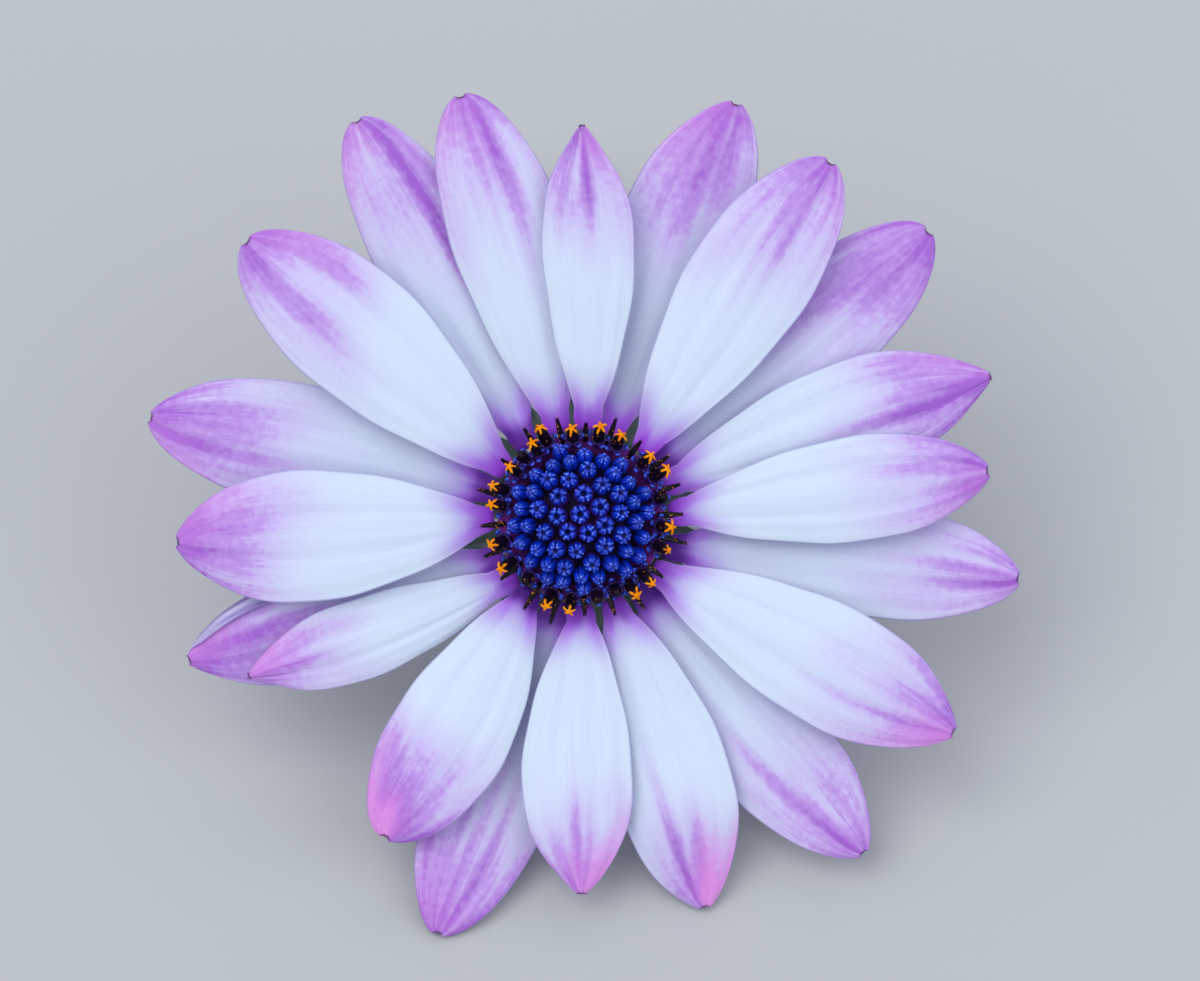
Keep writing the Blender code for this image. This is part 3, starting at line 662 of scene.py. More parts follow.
budSkin = budMaterial()
placing = placingTree()
chance = np.random.default_rng(disc["seed"])
budRows = {name: [] for name in budStyles}
for degrees, distance in disc["buds"]:
    tilt = math.asin(distance / disc["tipRadius"])
    lean = disc["budLean"] * tilt
    level = disc["domeBase"] + disc["flatness"] * disc["tipRadius"] * math.cos(tilt)
    aim = spotAt(math.sin(lean), degrees, math.cos(lean))
    wide = chance.uniform(1.0, 1.12)
    spin = chance.uniform(0, 2 * math.pi)
    kind = next(name for name, style in budStyles.items() if distance < style["until"])
    foot = (spotAt(distance, degrees, level) - aim * disc["budLength"]) * mm
    budRows[kind].append((foot, aim, spin, (wide, wide, 1.0), chance.uniform(0.2, 1)))
print("closed buds")
for name, rows in budRows.items():
    plantOn(name, rows, budMesh(name, chance), budSkin)


# The dome under the buds: nearly black in the middle and magenta purple round its rim.
def tissueMaterial(name, dark, light, rough, shine=0.4, rimTones=None):
    # Soft plant tissue: matt, slightly moist, with patches about 0.5 mm across.
    material, tree, shader = newMaterial(name, {
        "Roughness": rough, "IOR": 1.4, "Specular IOR Level": shine,
        "Subsurface Weight": 0.05, "Subsurface Scale": 0.0005,
    })
    place = addNode(tree, "ShaderNodeTexCoord", output=3)
    patches = addNode(tree, "ShaderNodeTexNoise", inputs={"Vector": place, "Scale": 1900.0, "Detail": 3.0})
    share = addNode(tree, "ShaderNodeMapRange", inputs={0: patches, 1: 0.35, 2: 0.65})
    colour = overlay(tree, dark, (share, light))
    if rimTones:
        atRim = overlay(tree, rimTones[0], (share, rimTones[1]))
        colour = overlay(tree, colour, (readMasks(tree, "rim")["rim"], atRim))
    bump = addNode(tree, "ShaderNodeBump", inputs={"Strength": 0.4, "Distance": 0.00005, "Height": patches})
    dress(tree, shader, {"Base Color": colour, "Normal": bump})
    return material


print("disc dome")
shoulder = disc["foot"] + disc["side"]
first = math.asin(disc["domeStart"] / disc["domeRadius"] / disc["flatness"])
arc = [first + (math.pi / 2 - first) * step / 14 for step in range(15)]
section = [(0, disc["foot"]), (disc["radius"], disc["foot"]), (disc["radius"] + 0.05, shoulder - 0.15),
           (disc["radius"] - 0.15, shoulder)]
section += [
    (disc["domeRadius"] * math.cos(angle),
     disc["domeBase"] + disc["flatness"] * disc["domeRadius"] * math.sin(angle)) for angle in arc
]
domePoints, domeFaces = turned(section[::-1], 96)
domeSkin = tissueMaterial("discTissue", "#06041A", "#160A34", 0.6, 0.12, ("#5E1A78", "#83309A"))
rim = smooth(np.hypot(domePoints[:, 0], domePoints[:, 1]), 5.2, 6.2)
domeMesh = meshOf("disc_dome", domePoints * mm, domeFaces, domeSkin, {"rim": rim})
domeMesh.transform(faceToWorld)
finishPiece(newObject("disc_dome", domeMesh), "disc", "disc_florets")


# Open florets round the rim: corolla with five curled lobes, anther tube and pollen star. For
# each its azimuth in degrees, the star's distance from the axis in millimetres, and how the
# star is: 0 closed, 1 open, 2 small.
openFlorets = [
    (13.6, 7.7, 0), (29.3, 8.38, 1), (41.6, 7.9, 1), (64.2, 7.8, 1), (78.0, 7.91, 1), (96.1, 7.6, 1),
    (114.7, 8.39, 1), (123.5, 7.6, 1), (134.0, 7.9, 0), (144.6, 7.5, 1), (160.3, 8.03, 1),
    (171.9, 7.75, 1), (196.9, 8.02, 1), (212.7, 8.15, 1), (228.8, 7.7, 0), (248.4, 8.1, 1),
    (262.7, 8.06, 1), (281.1, 7.6, 0), (295.4, 7.5, 0), (305.5, 8.11, 1), (317.0, 8.25, 1),
    (339.4, 7.93, 2), (353.8, 7.7, 1),
]
floret = {"foot": (6.2, 3.0), "antherLength": 3.3, "youngHeight": 0.8, "seed": 11}
# Dried-looking styles of the ray florets: azimuth and distance of the tip. Feet are given by
# (distance from the axis, height) here too.
styleForm = {"foot": (6.5, 3.7), "tipHeight": 4.6, "beyond": 0.1}
rayStyles = [
    (1.7, 8.63), (18.5, 8.85), (35, 9.07), (51.9, 8.24), (70.6, 8.91), (87.1, 8.02), (103.9, 8.66),
    (122.8, 8.99), (144, 8.4), (164.9, 9.06), (184.9, 8.55), (202.1, 8.88), (217.6, 8.67),
    (238, 9.21), (253.7, 9.39), (272, 8.33), (289.1, 8.81), (304.7, 9.41), (323.7, 8.62), (346.1, 9.22),
]


def corollaMesh():
    # A short purple tube that flares into five lobes, each curled back to a rounded blue tip.
    sides, share = 30, np.linspace(1, 0, 7)
    wall = list(zip(0.4 + 0.16 * share**1.5, 0.2 + 1.05 * share))
    shells = [turned([(0, 1.1), *wall, (0, 0.1)], sides)]    # a floor inside the throat closes it
    tones = [0.05, *np.repeat(0.2 + 0.15 * share, sides), 0.05]
    u, s = gridOf(11, 7)
    half = 0.3 * (1 - 0.3 * u) * np.sqrt(np.clip(1 - u**5, 0.02, 1))
    radius = 0.52 + 0.34 * np.sin(2.2 * u) + 0.1 * u
    height = 1.22 + 0.3 * (1 - np.cos(2.2 * u)) - 0.3 * smooth(u, 0.55, 1.0) + 0.1 * s**2 * (1 - u)
    thick = 0.09 + 0.2 * bell(u - 0.86, 0.2) * (1 - s**4)
    for lobe in range(5):
        shells.append(blade(armAt(2 * math.pi * (lobe + 0.5) / 5, radius, s * half, height), thick))
        # The tone rises towards the blue tips, which also take some painted highlight from the bud finish.
        tones.extend(np.tile((0.35 + 0.55 * smooth(u, 0.3, 0.8)).ravel(), 2))
    points, faces = joined(shells)
    values = {"tone": tones, "cap": smooth(np.array(tones), 0.3, 0.5)}
    return meshOf("corolla", points * mm, faces, values=values)


def antherMesh():
    # Five fused anthers: a slim ribbed tube with a rounded shoulder.
    outline = [
        (0, 3.3), (0.2, 3.27), (0.34, 3.1), (0.43, 2.8), (0.47, 2.3), (0.46, 1.6), (0.4, 0.9), (0, 0.8)]
    points, faces = turned(outline, 30)
    points[:, :2] *= (1 + 0.06 * np.cos(5 * np.arctan2(points[:, 1], points[:, 0])))[:, None]
    return meshOf("anther", points * mm, faces)


def starMesh():
    # Five drooping arms heaped with orange pollen.
    shells = []
    u, s = gridOf(9, 5)
    height = 3.42 - 0.34 * u**2 - 0.05 * s**2
    for arm in range(5):
        half = 0.1 * (1 - 0.25 * u) * np.sqrt(np.clip(1 - u**6, 0.05, 1)) * (1 + 0.25 * np.sin(9 * u + arm))
        radius = 0.02 + (0.56 + 0.07 * math.sin(2.6 * arm)) * u
        middle = armAt(2 * math.pi * arm / 5, radius, s * half, height)
        shells.append(blade(middle, 0.15 * (1 - 0.5 * s**2)))
    points, faces = joined(shells)
    return meshOf("star", points * mm, faces)


def styleMesh():
    # A dark pointed spindle that forks only at its tip, 1 long.
    shells = []
    u, s = gridOf(13, 5)
    half = 0.2 * np.sin(math.pi * np.clip(0.12 + 0.88 * u, 0, 1)) ** 0.8 + 0.012
    for side in (-1, 1):
        sway = side * (0.05 - 0.02 * smooth(u, 0.3, 0.7) + 0.06 * smooth(u, 0.8, 1))
        middle = np.dstack([sway + s * half, 0.05 * s**2 + 0.06 * np.sin(6 * u), u])
        shells.append(blade(middle, 0.22 * (1 - 0.6 * s**2) * (1 - 0.7 * u**2)))
    return meshOf("style", *joined(shells))


print("open florets")
chance = np.random.default_rng(floret["seed"])
corollaRows, antherRows, starRows = [], [], []
for degrees, starAt, opened in openFlorets:
    foot = spotAt(floret["foot"][0], degrees, floret["foot"][1]) * mm
    lean = math.asin(min(0.8, (starAt - floret["foot"][0]) / floret["antherLength"]))
    aim = spotAt(math.sin(lean), degrees, math.cos(lean))
    spin = chance.uniform(0, 2 * math.pi)
    mood = chance.uniform(0.5, 1)
    corollaRows.append((foot, aim, spin, (1, 1, 1), mood))
    antherRows.append((foot, aim, spin, (1, 1, 1 if opened else floret["youngHeight"]), mood))
    if opened:
        wide = chance.uniform(0.86, 1.1, 2) if opened == 1 else (0.7, 0.6)
        starRows.append((foot, aim, spin + chance.uniform(-0.4, 0.4), (*wide, 1), mood))
corollas = plantOn("open_corollas", corollaRows, corollaMesh(), budSkin)
# Anther tubes: almost black purple and softly shiny, so they read as dark wells round the disc.
antherSkin = tissueMaterial("antherTissue", "#09040E", "#1E0B1E", 0.4, 0.2)
anthers = plantOn("anther_tubes", antherRows, antherMesh(), antherSkin)
# Fresh pollen: dry, matt and strongly orange.
pollenSkin = tissueMaterial("pollenHeap", "#F47E02", "#FFA50C", 0.8, 0.1)
stars = plantOn("pollen_stars", starRows, starMesh(), pollenSkin)
styleRows = []
for degrees, tipAt in rayStyles:
    foot = spotAt(styleForm["foot"][0], degrees, styleForm["foot"][1]) * mm
    reach = spotAt(tipAt + styleForm["beyond"], degrees, styleForm["tipHeight"]) * mm - foot
    length = float(np.linalg.norm(reach))
    styleRows.append((foot, reach / length, math.radians(degrees) + math.pi / 2, (mm, mm, length), 0))
styles = plantOn("ray_styles", styleRows, styleMesh(), antherSkin)


# pollen grains on the stars, anthers and styles, and a few strays on the corollas
pollen = {"size": 0.045, "starDensity": 34e6, "darkDensity": 0.9e6, "discDensity": 0.12e6, "seed": 5}


def grainTree():
    # Scatters small round grains over a surface.
    tree, given = newTree("pollenScatter", {
        "Geometry": "Geometry", "Density": "Float", "Size": "Float", "Seed": "Int", "Finish": "Material"})
    spots = addNode(tree, "GeometryNodeDistributePointsOnFaces", inputs={
        "Mesh": given["Geometry"], "Density": given["Density"], "Seed": given["Seed"]})
    grain = addNode(tree, "GeometryNodeMeshIcoSphere", inputs={"Radius": given["Size"], "Subdivisions": 1})
    size = addNode(tree, "FunctionNodeRandomValue", {"data_type": "FLOAT"}, {
        2: 0.6, 3: 1.3, 8: given["Seed"]}, 1)
    grains = addNode(tree, "GeometryNodeInstanceOnPoints", inputs={
        "Points": spots, "Instance": grain, "Scale": size})
    closeTree(tree, grains, given["Finish"])
    return tree


print("pollen")
grains = grainTree()
grainy = (
    ("star_pollen", stars, pollen["starDensity"]), ("anther_pollen", anthers, pollen["darkDensity"]),
    ("style_pollen", styles, 3 * pollen["darkDensity"]), ("bud_pollen", corollas, pollen["discDensity"]),
)
for name, source, density in grainy:
    finishPiece(grow(name, grains, {
        "Density": density, "Size": pollen["size"] * mm, "Seed": pollen["seed"], "Finish": pollenSkin,
    }, source.data.copy()), "disc", "disc_florets")


# receptacle: the green cup behind the bloom, wrapped in pointed bracts
calyx = {
    "width": 2.2, "seed": 3,
    "path": [(2.6, -6.15), (4.6, -5.35), (6.6, -3.75), (7.7, -2.55), (9.2, -1.65), (11.4, -0.8)],
    "cup": [(0, 2.3), (6.9, 2.3), (7.2, 2.1), (7.2, -1.6), (6.2, -3.2), (4.2, -5.0), (2.4, -6.1),
            (1.9, -6.9), (0, -6.9)],
}


def bractMesh():
    # One pointed bract with a keel, cupped over its width.
    path = np.array(calyx["path"])
    run = runAlong(path)
    u, s = gridOf(26, 11)
    radius, level = (np.interp(u * run[-1], run, path[:, column]) for column in (0, 1))
    half = calyx["width"] / 2 * np.minimum(0.5 + 1.1 * u, 1.0) * (1 - smooth(u, 0.56, 1.02)) ** 0.7 + 0.04
    keel = -0.18 * bell(s, 0.25) + 0.3 * s**2 * half
    middle = np.dstack([radius, s * half, level + keel - 0.1])
    points, faces = blade(middle, 0.34 * (1 - 0.6 * s**4) * (1 - 0.5 * u))
    return meshOf("bract", points * mm, faces, uv=bladeMap(u, s))


# Young green skin: satin, a little waxy, with long pale nerves about 0.3 mm apart. A mark is a
# mask of the mesh with its strength, two tones and the scale of the grain that shares them out.
def greenMaterial(name, dark, light, vein, veinCount, rough, mark=None):
    material, tree, shader = newMaterial(name, {
        "IOR": 1.42, "Specular IOR Level": 0.4, "Subsurface Weight": 0.08,
        "Subsurface Scale": 0.0006, "Subsurface Radius": (0.5, 1.0, 0.3),
    })
    place = addNode(tree, "ShaderNodeTexCoord", output=3)
    patches = addNode(tree, "ShaderNodeTexNoise", inputs={"Vector": place, "Scale": 420.0, "Detail": 4.0})
    pores = addNode(tree, "ShaderNodeTexNoise", inputs={"Vector": place, "Scale": 3600.0, "Detail": 2.0})
    surface = addNode(tree, "ShaderNodeUVMap", {"uv_map": "surfaceMap"})
    lineAt = addNode(tree, "ShaderNodeMapping", inputs={"Vector": surface, "Scale": (1.5, veinCount, 1.0)})
    lines = addNode(tree, "ShaderNodeTexNoise", inputs={"Vector": lineAt, "Scale": 1.0, "Detail": 2.0})
    share = addNode(tree, "ShaderNodeMapRange", inputs={0: patches, 1: 0.35, 2: 0.65})
    nerve = addNode(tree, "ShaderNodeMapRange", inputs={0: lines, 1: 0.52, 2: 0.68, 4: 0.5})
    colour = overlay(tree, dark, (share, light), (nerve, vein))
    if mark:
        attribute, strength, low, high, scale = mark
        marked = addNode(tree, "ShaderNodeMath", {"operation": "MULTIPLY"}, {
            0: readMasks(tree, attribute)[attribute], 1: strength})
        grain = addNode(tree, "ShaderNodeTexNoise", inputs={"Vector": place, "Scale": scale, "Detail": 2.0})
        colour = overlay(tree, colour, (marked, overlay(tree, low, (grain, high))))
    relief = addNode(tree, "ShaderNodeMix", {"data_type": "FLOAT"}, {0: 0.4, 2: lines, 3: pores})
    bump = addNode(tree, "ShaderNodeBump", inputs={"Strength": 0.5, "Distance": 0.00008, "Height": relief})
    roughness = addNode(tree, "ShaderNodeMapRange", inputs={
        0: pores, 1: 0.3, 2: 0.7, 3: rough - 0.06, 4: rough + 0.08})
    dress(tree, shader, {"Base Color": colour, "Normal": bump, "Roughness": roughness})
    return material


print("receptacle")
bractSkin = greenMaterial("bractSkin", "#788A7E", "#98A69C", "#AEB6B0", 16.0, 0.5)
cupPoints, cupFaces = turned(calyx["cup"], 80)
cupMap = np.stack([cupPoints[:, 2] / 9, np.arctan2(cupPoints[:, 1], cupPoints[:, 0]) / math.pi], axis=-1)
cupMesh = meshOf("calyx_cup", cupPoints * mm, cupFaces, bractSkin, uv=cupMap)
cupMesh.transform(faceToWorld)
finishPiece(newObject("calyx_cup", cupMesh), "receptacle", "receptacle")
# One bract stands behind each gap between two petal roots.
chance = np.random.default_rng(calyx["seed"])
roots = sorted(row[0] for row in petalShape.values())
bractRows = []
for before, after in zip(roots, [*roots[1:], roots[0] + 360]):
    size = np.full(3, chance.uniform(0.97, 1.02))
    bractRows.append(((0, 0, 0), (0, 0, 1), math.radians((before + after) / 2), size, 0))
bracts = plantOn("calyx_bracts", bractRows, bractMesh(), bractSkin, "receptacle", "receptacle")


# stem: a ribbed, softly hairy stalk that ends in a fresh cut
stem = {
    "top": -7.2, "radius": 1.5, "length": 52.0, "turnRadius": 25.0, "sway": 1.6, "points": 20,
    "ribs": 9, "ribDepth": 0.07, "rings": 170, "sides": 54, "intoCup": 0.35,
}


def stemRoute(count):
    # The CAD's own centre line: straight out of the cup, round to level, then along the surface.
    radius, length, bend = stem["radius"] * mm, stem["length"] * mm, stem["turnRadius"] * mm
    top = faceToWorld @ Vector((0, 0, stem["top"] * mm))
    slope = math.pi / 2 - bloom["lean"]
    straight = (top.z - radius - bend * (1 - math.cos(slope))) / math.sin(slope)
    route = []
    for index in range(count):
        run = length * index / (count - 1)
        onSlope = min(run, straight)
        bent = min(max(run - straight, 0.0), bend * slope) / bend
        level = max(run - straight - bend * slope, 0.0)
        forward = onSlope * math.cos(slope) + level + bend * (math.sin(slope) - math.sin(slope - bent))
        down = onSlope * math.sin(slope) + bend * (math.cos(slope - bent) - math.cos(slope))
        swing = stem["sway"] * mm * math.sin(2 * math.pi * float(smooth(run / length, 0, 1)))
        route.append(top + Vector((swing, forward, -down)))
    return route


def stemMesh(material):
    route = stemRoute(stem["rings"])
    route.insert(0, route[0] - (route[1] - route[0]).normalized() * stem["intoCup"] * mm)
    line = np.array(route)
    ahead = np.gradient(line, axis=0)
    ahead /= np.linalg.norm(ahead, axis=1, keepdims=True)
    side = np.cross(ahead, np.tile([1.0, 0, 0], (len(line), 1)))
    side /= np.linalg.norm(side, axis=1, keepdims=True)
    other = np.cross(ahead, side)
    angles = np.linspace(0, 2 * math.pi, stem["sides"], endpoint=False)
    run = np.linspace(0, 1, len(line))[:, None]
    ribs = stem["ribDepth"] * np.cos(stem["ribs"] * angles + 1.2 * np.sin(5 * run))
    swell = 1 + 0.05 * np.sin(31 * run) * np.sin(angles + 7 * run)
    end = smooth(run, 0.985, 1.0) * 0.06
    radius = (0.965 * stem["radius"] * swell + ribs - end) * mm
    radius = np.minimum(radius, stem["radius"] * mm)
    ring = (np.cos(angles)[None, :, None] * side[:, None] + np.sin(angles)[None, :, None] * other[:, None])
    shell = line[:, None] + radius[..., None] * ring
    # The cut: a pale pith with a darker ring of vessels, slightly hollow.
    rows, sides = radius.shape
    points = shell.reshape(-1, 3).tolist()
    pith = [0.0] * len(points)
    faces = []
    index = np.arange(rows * sides).reshape(rows, sides)
    nextOne = np.roll(index, -1, axis=1)
    faces += np.stack([index[:-1], nextOne[:-1], nextOne[1:], index[1:]], axis=-1).reshape(-1, 4).tolist()
    last = index[-1]
    for share, inward in ((0.93, 0.0), (0.8, 0.05), (0.6, 0.1), (0.35, 0.13)):
        made = line[-1] - ahead[-1] * inward * mm + (shell[-1] - line[-1]) * share
        start = len(points)
        points += made.tolist()
        pith += [1.0] * sides
        now = np.arange(start, start + sides)
        faces += np.stack([last, np.roll(last, -1), np.roll(now, -1), now], axis=-1).tolist()
        last = now
    points.append((line[-1] - ahead[-1] * 0.14 * mm).tolist())
    points.append(line[0].tolist())
    pith += [1.0, 0.0]
    faces += [[int(a), int(b), len(points) - 2] for a, b in zip(last, np.roll(last, -1))]
    faces += [[int(b), int(a), len(points) - 1] for a, b in zip(index[0], nextOne[0])]
    uv = np.zeros((len(points), 2))
    uv[: rows * sides, 0] = np.repeat(run[:, 0] * 3, sides)
    uv[: rows * sides, 1] = np.tile(np.abs(angles / math.pi - 1), rows)
    return meshOf("stem_skin", points, faces, material, {"pith": pith}, uv)


def hairMesh():
    # One soft hair: a thin three-sided curl that tapers to a point, 1 long.
    points, faces = [], []
    for level in range(4):
        share = level / 4
        for step in range(3):
            angle = 2 * math.pi * step / 3
            thick, lean = 0.035 * (1 - share), 0.25 * share**2
            points.append((thick * math.cos(angle) + lean, thick * math.sin(angle), share - 0.03))
    points.append((0.25, 0, 0.97))
    for level in range(3):
        for step in range(3):
            low, after = 3 * level, (step + 1) % 3
            faces.append((low + step, low + after, low + 3 + after, low + 3 + step))
    faces += [(9, 10, 12), (10, 11, 12), (11, 9, 12), (2, 1, 0)]
    return meshOf("hair", points, faces)


def hairTree():
    # Grows hairs all over a surface, each leaning its own way.
    tree, given = newTree("softHairs", {
        "Geometry": "Geometry", "Hair": "Object", "Density": "Float", "Length": "Float",
        "Lowest": "Float", "Seed": "Int", "Finish": "Material"})
    # Hairs near the floor would be pressed flat, so none grows there.
    spot = addNode(tree, "GeometryNodeInputPosition")
    level = addNode(tree, "ShaderNodeSeparateXYZ", inputs={0: spot}, output=2)
    clear = addNode(tree, "FunctionNodeCompare", {"data_type": "FLOAT", "operation": "GREATER_THAN"}, {
        0: level, 1: given["Lowest"]})
    scatter = addNode(tree, "GeometryNodeDistributePointsOnFaces", inputs={
        "Mesh": given["Geometry"], "Selection": clear, "Density": given["Density"], "Seed": given["Seed"]})
    stray = addNode(tree, "FunctionNodeRandomValue", {"data_type": "FLOAT_VECTOR"}, {
        0: (-0.7, -0.7, -0.7), 1: (0.7, 0.7, 0.7), 8: given["Seed"]})
    aim = addNode(tree, "ShaderNodeVectorMath", {"operation": "ADD"}, {
        0: scatter.node.outputs["Normal"], 1: stray})
    spin, vary = (
        addNode(tree, "FunctionNodeRandomValue", {"data_type": "FLOAT"}, {
            2: low, 3: high, 8: given["Seed"]}, 1) for low, high in ((0.0, 6.28), (0.5, 1.1))
    )
    size = addNode(tree, "ShaderNodeMath", {"operation": "MULTIPLY"}, {0: vary, 1: given["Length"]})
    closeTree(tree, standOn(tree, scatter, given["Hair"], aim, spin, size), given["Finish"])
    return tree


print("stem")
# Fine plant hair: pale and softly lit from all sides, as light passes through it.
hairSkin, hairNodes, hairShader = newMaterial("hairFluff", {
    "Roughness": 0.55, "IOR": 1.5, "Sheen Weight": 0.2})
hairPlace = addNode(hairNodes, "ShaderNodeTexCoord", output=3)
hairTone = addNode(hairNodes, "ShaderNodeTexNoise", inputs={"Vector": hairPlace, "Scale": 900.0})
dress(hairNodes, hairShader, {"Base Color": overlay(hairNodes, "#B9C4A0", (hairTone, "#E6EBD8"))})
# Juicy green stalk flushed with purple on its ribs; the cut shows wet pale pith.
stemSkin = greenMaterial("stemSkin", "#4F6E38", "#75904E", "#6B4A63", 18.0, 0.46, (
    "pith", 1.0, "#A9BD78", "#DDE4B8", 2600.0))
stemPiece = finishPiece(newObject("stem_skin", stemMesh(stemSkin)), "stem", "stem")


# leaves: toothed blades with a sunk midrib and side nerves
leafShape = {
    # foot distance along the stem, side, azimuth of the midrib, length, width, teeth a side
    "leaf_left": (40.0, 1, 205.0, 24.0, 10.0, 4),
    "leaf_right": (46.0, -1, -24.0, 23.0, 9.0, 3),
}
leafForm = {
    "blade": 0.7, "petiole": 0.9, "gap": 0.3, "rows": 90, "columns": 33, "thickness": 0.42,
    "seat": 1.4, "flare": 0.35, "footShare": 0.07,      # the foot widens and runs into the stem
}


def leafMesh(name, material):
    footRun, side, azimuth, length, width, teeth = leafShape[name]
    route = stemRoute(stem["points"])
    nearest = round(footRun / stem["length"] * (stem["points"] - 1))
    turn = math.radians(azimuth)
    clear = (stem["radius"] + leafForm["gap"] + leafForm["petiole"] * abs(math.sin(turn))) * mm
    foot = route[nearest] + Vector((-side * clear, 0, 0))
    rows = 2 * (teeth + 2)
    u, s = gridOf(leafForm["rows"], leafForm["columns"])
    v = s * (1.2 - 0.2 * s * s)
    swell = np.maximum(np.sin(math.pi * np.clip(u, 0, 1) ** 1.25), 0) ** 0.75
    least = leafForm["petiole"] + (0.2 - leafForm["petiole"]) * smooth(u, 0.85, 1)
    half = np.maximum(least, swell * width / 2)
    toothed = smooth(u * rows, 3, 4) * (1 - smooth(u * rows, rows - 1, rows))
    saw = (0.5 - 0.5 * np.cos(math.pi * u * rows)) ** 1.6
    half = half * (1 - 0.16 * toothed * saw * smooth(np.abs(v), 0.75, 1))
    footing = 1 - smooth(u, 0, leafForm["footShare"])
    half = half + leafForm["flare"] * footing
    rise = foot.z / mm - 0.5 * leafForm["blade"] - 0.02
    arch = 2.6 * np.sin(math.pi * u**0.8) - rise * smooth(u, 0, 1)
    wave = 0.35 * np.sin(math.pi * u * teeth) * v * smooth(u, 0, 0.3)
    fold = 1.1 * v**2 * np.sin(math.pi * u)
    # Side nerves leave the midrib every few millimetres and run forward to the teeth.
    slant = (u * rows / 2 - 0.55 * np.abs(v)) % 1.0
    nerve = bell(np.minimum(slant, 1 - slant), 0.07) * smooth(u, 0.06, 0.2)
    nerve *= 1 - smooth(np.abs(v), 0.7, 1)
    midrib = bell(v * half, 0.32) * (1 - 0.6 * u)
    puff = 0.1 * np.sin(math.pi * slant) * smooth(np.abs(v), 0.05, 0.4) * smooth(u, 0.1, 0.25)
    height = arch + wave + fold - 0.2 * midrib - 0.09 * nerve + puff
    local = np.dstack([u * length - leafForm["seat"] * footing, v * half, height])
    thin = leafForm["thickness"] * (1 - 0.55 * np.abs(v) ** 4) + 0.5 * midrib * (1 - smooth(u, 0, 1))
    points, faces = blade(local * mm, thin * mm)
    values = {"nerve": np.tile(np.maximum(nerve * 0.7, midrib).ravel(), 2)}
    mesh = meshOf(name + "_blade", points, faces, material, values, bladeMap(u, s))
    mesh.transform(Matrix.Translation(foot) @ Matrix.Rotation(turn, 4, "Z"))
    return mesh


print("leaves")
# Slightly fleshy leaf: satin green, paler along the sunk nerves, a bit blue on its bloom.
leafSkin = greenMaterial("leafSkin", "#2F5A2A", "#4C7C3C", "#6E9450", 9.0, 0.42, (
    "nerve", 0.75, "#9BB77A", "#9BB77A", 900.0))
leaves = {}
for name in leafShape:
    leaves[name] = finishPiece(newObject(name + "_blade", leafMesh(name, leafSkin)), "leaf", name)

print("hairs")
hairForm = {"lowest": 0.7, "seed": 20}
hairShape = newObject("hairShape", hairMesh())
hairs = hairTree()
# name, the piece that the hairs grow on, slot, node, hairs on a square metre, and their length
furry = (
    ("stem", stemPiece, "stem", "stem", 4.2e6, 0.45),
    ("calyx", bracts, "receptacle", "receptacle", 1.6e6, 0.4),
    ("leaf_left", leaves["leaf_left"], "leaf", "leaf_left", 1.5e6, 0.32),
    ("leaf_right", leaves["leaf_right"], "leaf", "leaf_right", 1.5e6, 0.32),
)
for number, (name, source, slot, node, density, length) in enumerate(furry):
    finishPiece(grow(name + "_hairs", hairs, {
        "Hair": hairShape, "Density": density, "Length": length * mm, "Lowest": hairForm["lowest"] * mm,
        "Seed": hairForm["seed"] + number, "Finish": hairSkin,
    }, source.data.copy()), slot, node)
bpy.data.objects.remove(hairShape)


# camera, floor and light
view = {
    "distance": 390 * mm, "sensor": 36.0, "lens": 135.4, "clipStart": 0.01,
    "photoSize": (1200, 981), "discAt": (581.5, 517.0), "millimetresPerPixel": 0.0864,
}


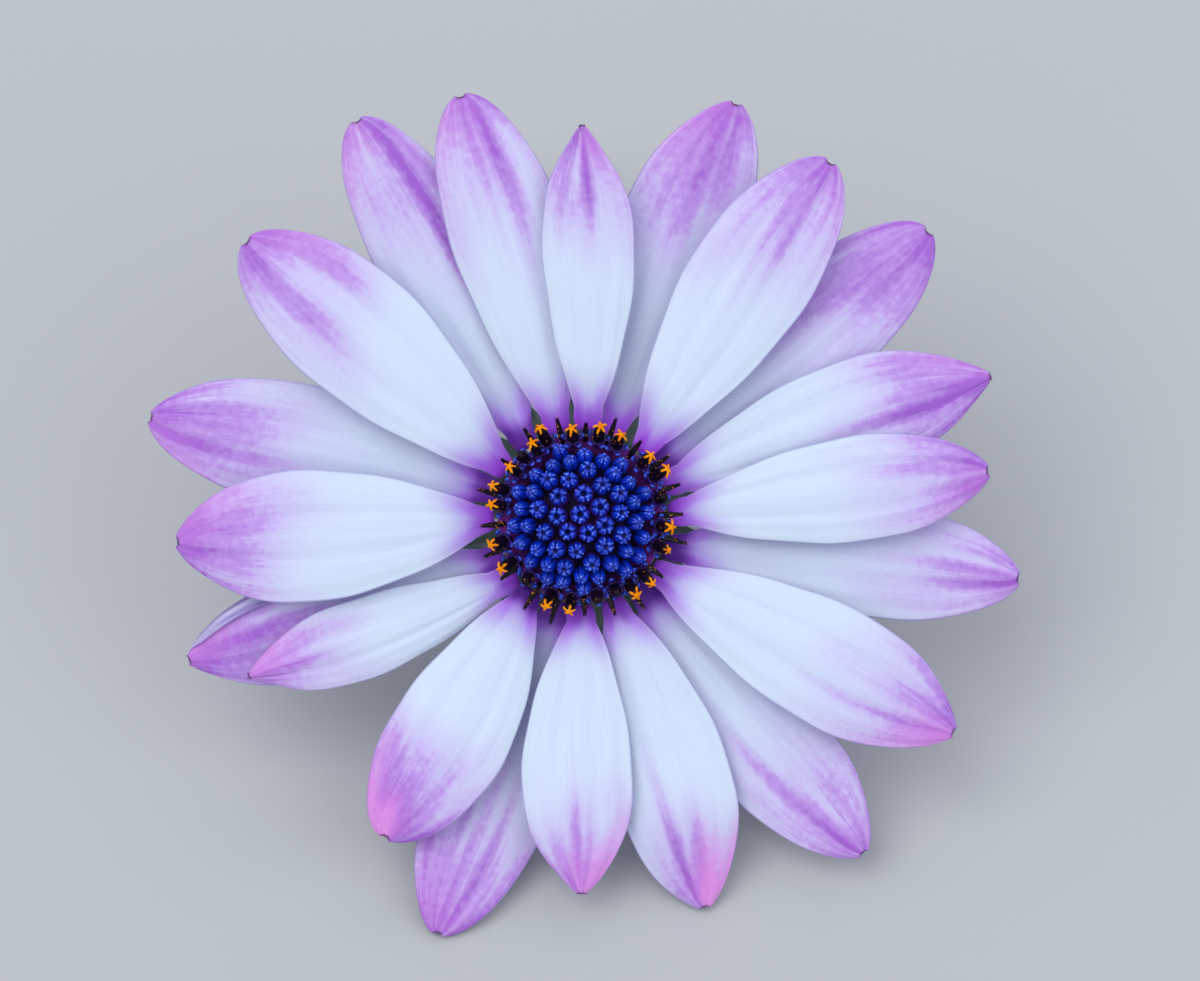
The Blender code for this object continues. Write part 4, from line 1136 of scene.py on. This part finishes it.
def buildCamera():
    right, upward, outward = (faceToWorld.to_3x3().col[index] for index in range(3))
    scale = view["millimetresPerPixel"] * mm
    aside = (view["photoSize"][0] / 2 - view["discAt"][0]) * scale
    above = (view["discAt"][1] - view["photoSize"][1] / 2) * scale
    aimed = bloom["centre"] + right * aside + upward * above
    camera = bpy.data.cameras.new("camera")
    camera.sensor_width, camera.lens, camera.clip_start = view["sensor"], view["lens"], view["clipStart"]
    holder = newObject("camera", camera)
    turn = Matrix((right, upward, outward)).transposed().to_4x4()
    holder.matrix_world = Matrix.Translation(aimed + outward * view["distance"]) @ turn
    bpy.context.scene.camera = holder


studio = {
    "aimedAt": (0, 0, 0.015),
    # position, size, power and colour of each soft light
    "lights": [
        ((-0.36, -0.2, 0.78), 0.7, 3.6, "#FFFFFF"),
        ((0.5, -0.3, 0.6), 0.7, 1.6, "#F2F6FF"),
        ((0.1, 0.6, 0.5), 0.6, 1.2, "#F6F2FF"),
    ],
    "world": "#E2EAF6", "worldStrength": 0.7,
    "floor": ("#B9BBBC", "#A6A8AA"), "floorSize": 1.6, "floorLevel": -0.0002,
}


def buildStudio():
    scene = bpy.context.scene
    scene.view_settings.view_transform = "Standard"
    scene.world = bpy.data.worlds.new("studio")
    scene.world.use_nodes = True
    sky = scene.world.node_tree.nodes["Background"]
    sky.inputs["Color"].default_value = toLinear(studio["world"])
    sky.inputs["Strength"].default_value = studio["worldStrength"]
    for number, (place, size, power, colour) in enumerate(studio["lights"]):
        lamp = bpy.data.lights.new(f"softbox_{number}", "AREA")
        lamp.size, lamp.energy, lamp.color = size, power, toLinear(colour)[:3]
        holder = newObject(lamp.name, lamp)
        holder.location = place
        toFlower = Vector(studio["aimedAt"]) - Vector(place)
        holder.rotation_euler = toFlower.to_track_quat("-Z", "Y").to_euler()
    half, level = studio["floorSize"] / 2, studio["floorLevel"]
    corners = [(x * half, y * half, level) for x, y in ((-1, -1), (1, -1), (1, 1), (-1, 1))]
    # Matt painted board: even, pale and without shine.
    material, tree, shader = newMaterial("floorBoard", {"Roughness": 0.8, "Specular IOR Level": 0.2})
    place = addNode(tree, "ShaderNodeTexCoord", output=3)
    cloud = addNode(tree, "ShaderNodeTexNoise", inputs={"Vector": place, "Scale": 6.0, "Detail": 2.0})
    share = addNode(tree, "ShaderNodeMapRange", inputs={0: cloud, 1: 0.3, 2: 0.7, 4: 0.12})
    dress(tree, shader, {"Base Color": overlay(tree, studio["floor"][0], (share, studio["floor"][1]))})
    newObject("floor", meshOf("floor", corners, [(0, 1, 2, 3)], material))


print("camera and studio")
buildCamera()
buildStudio()
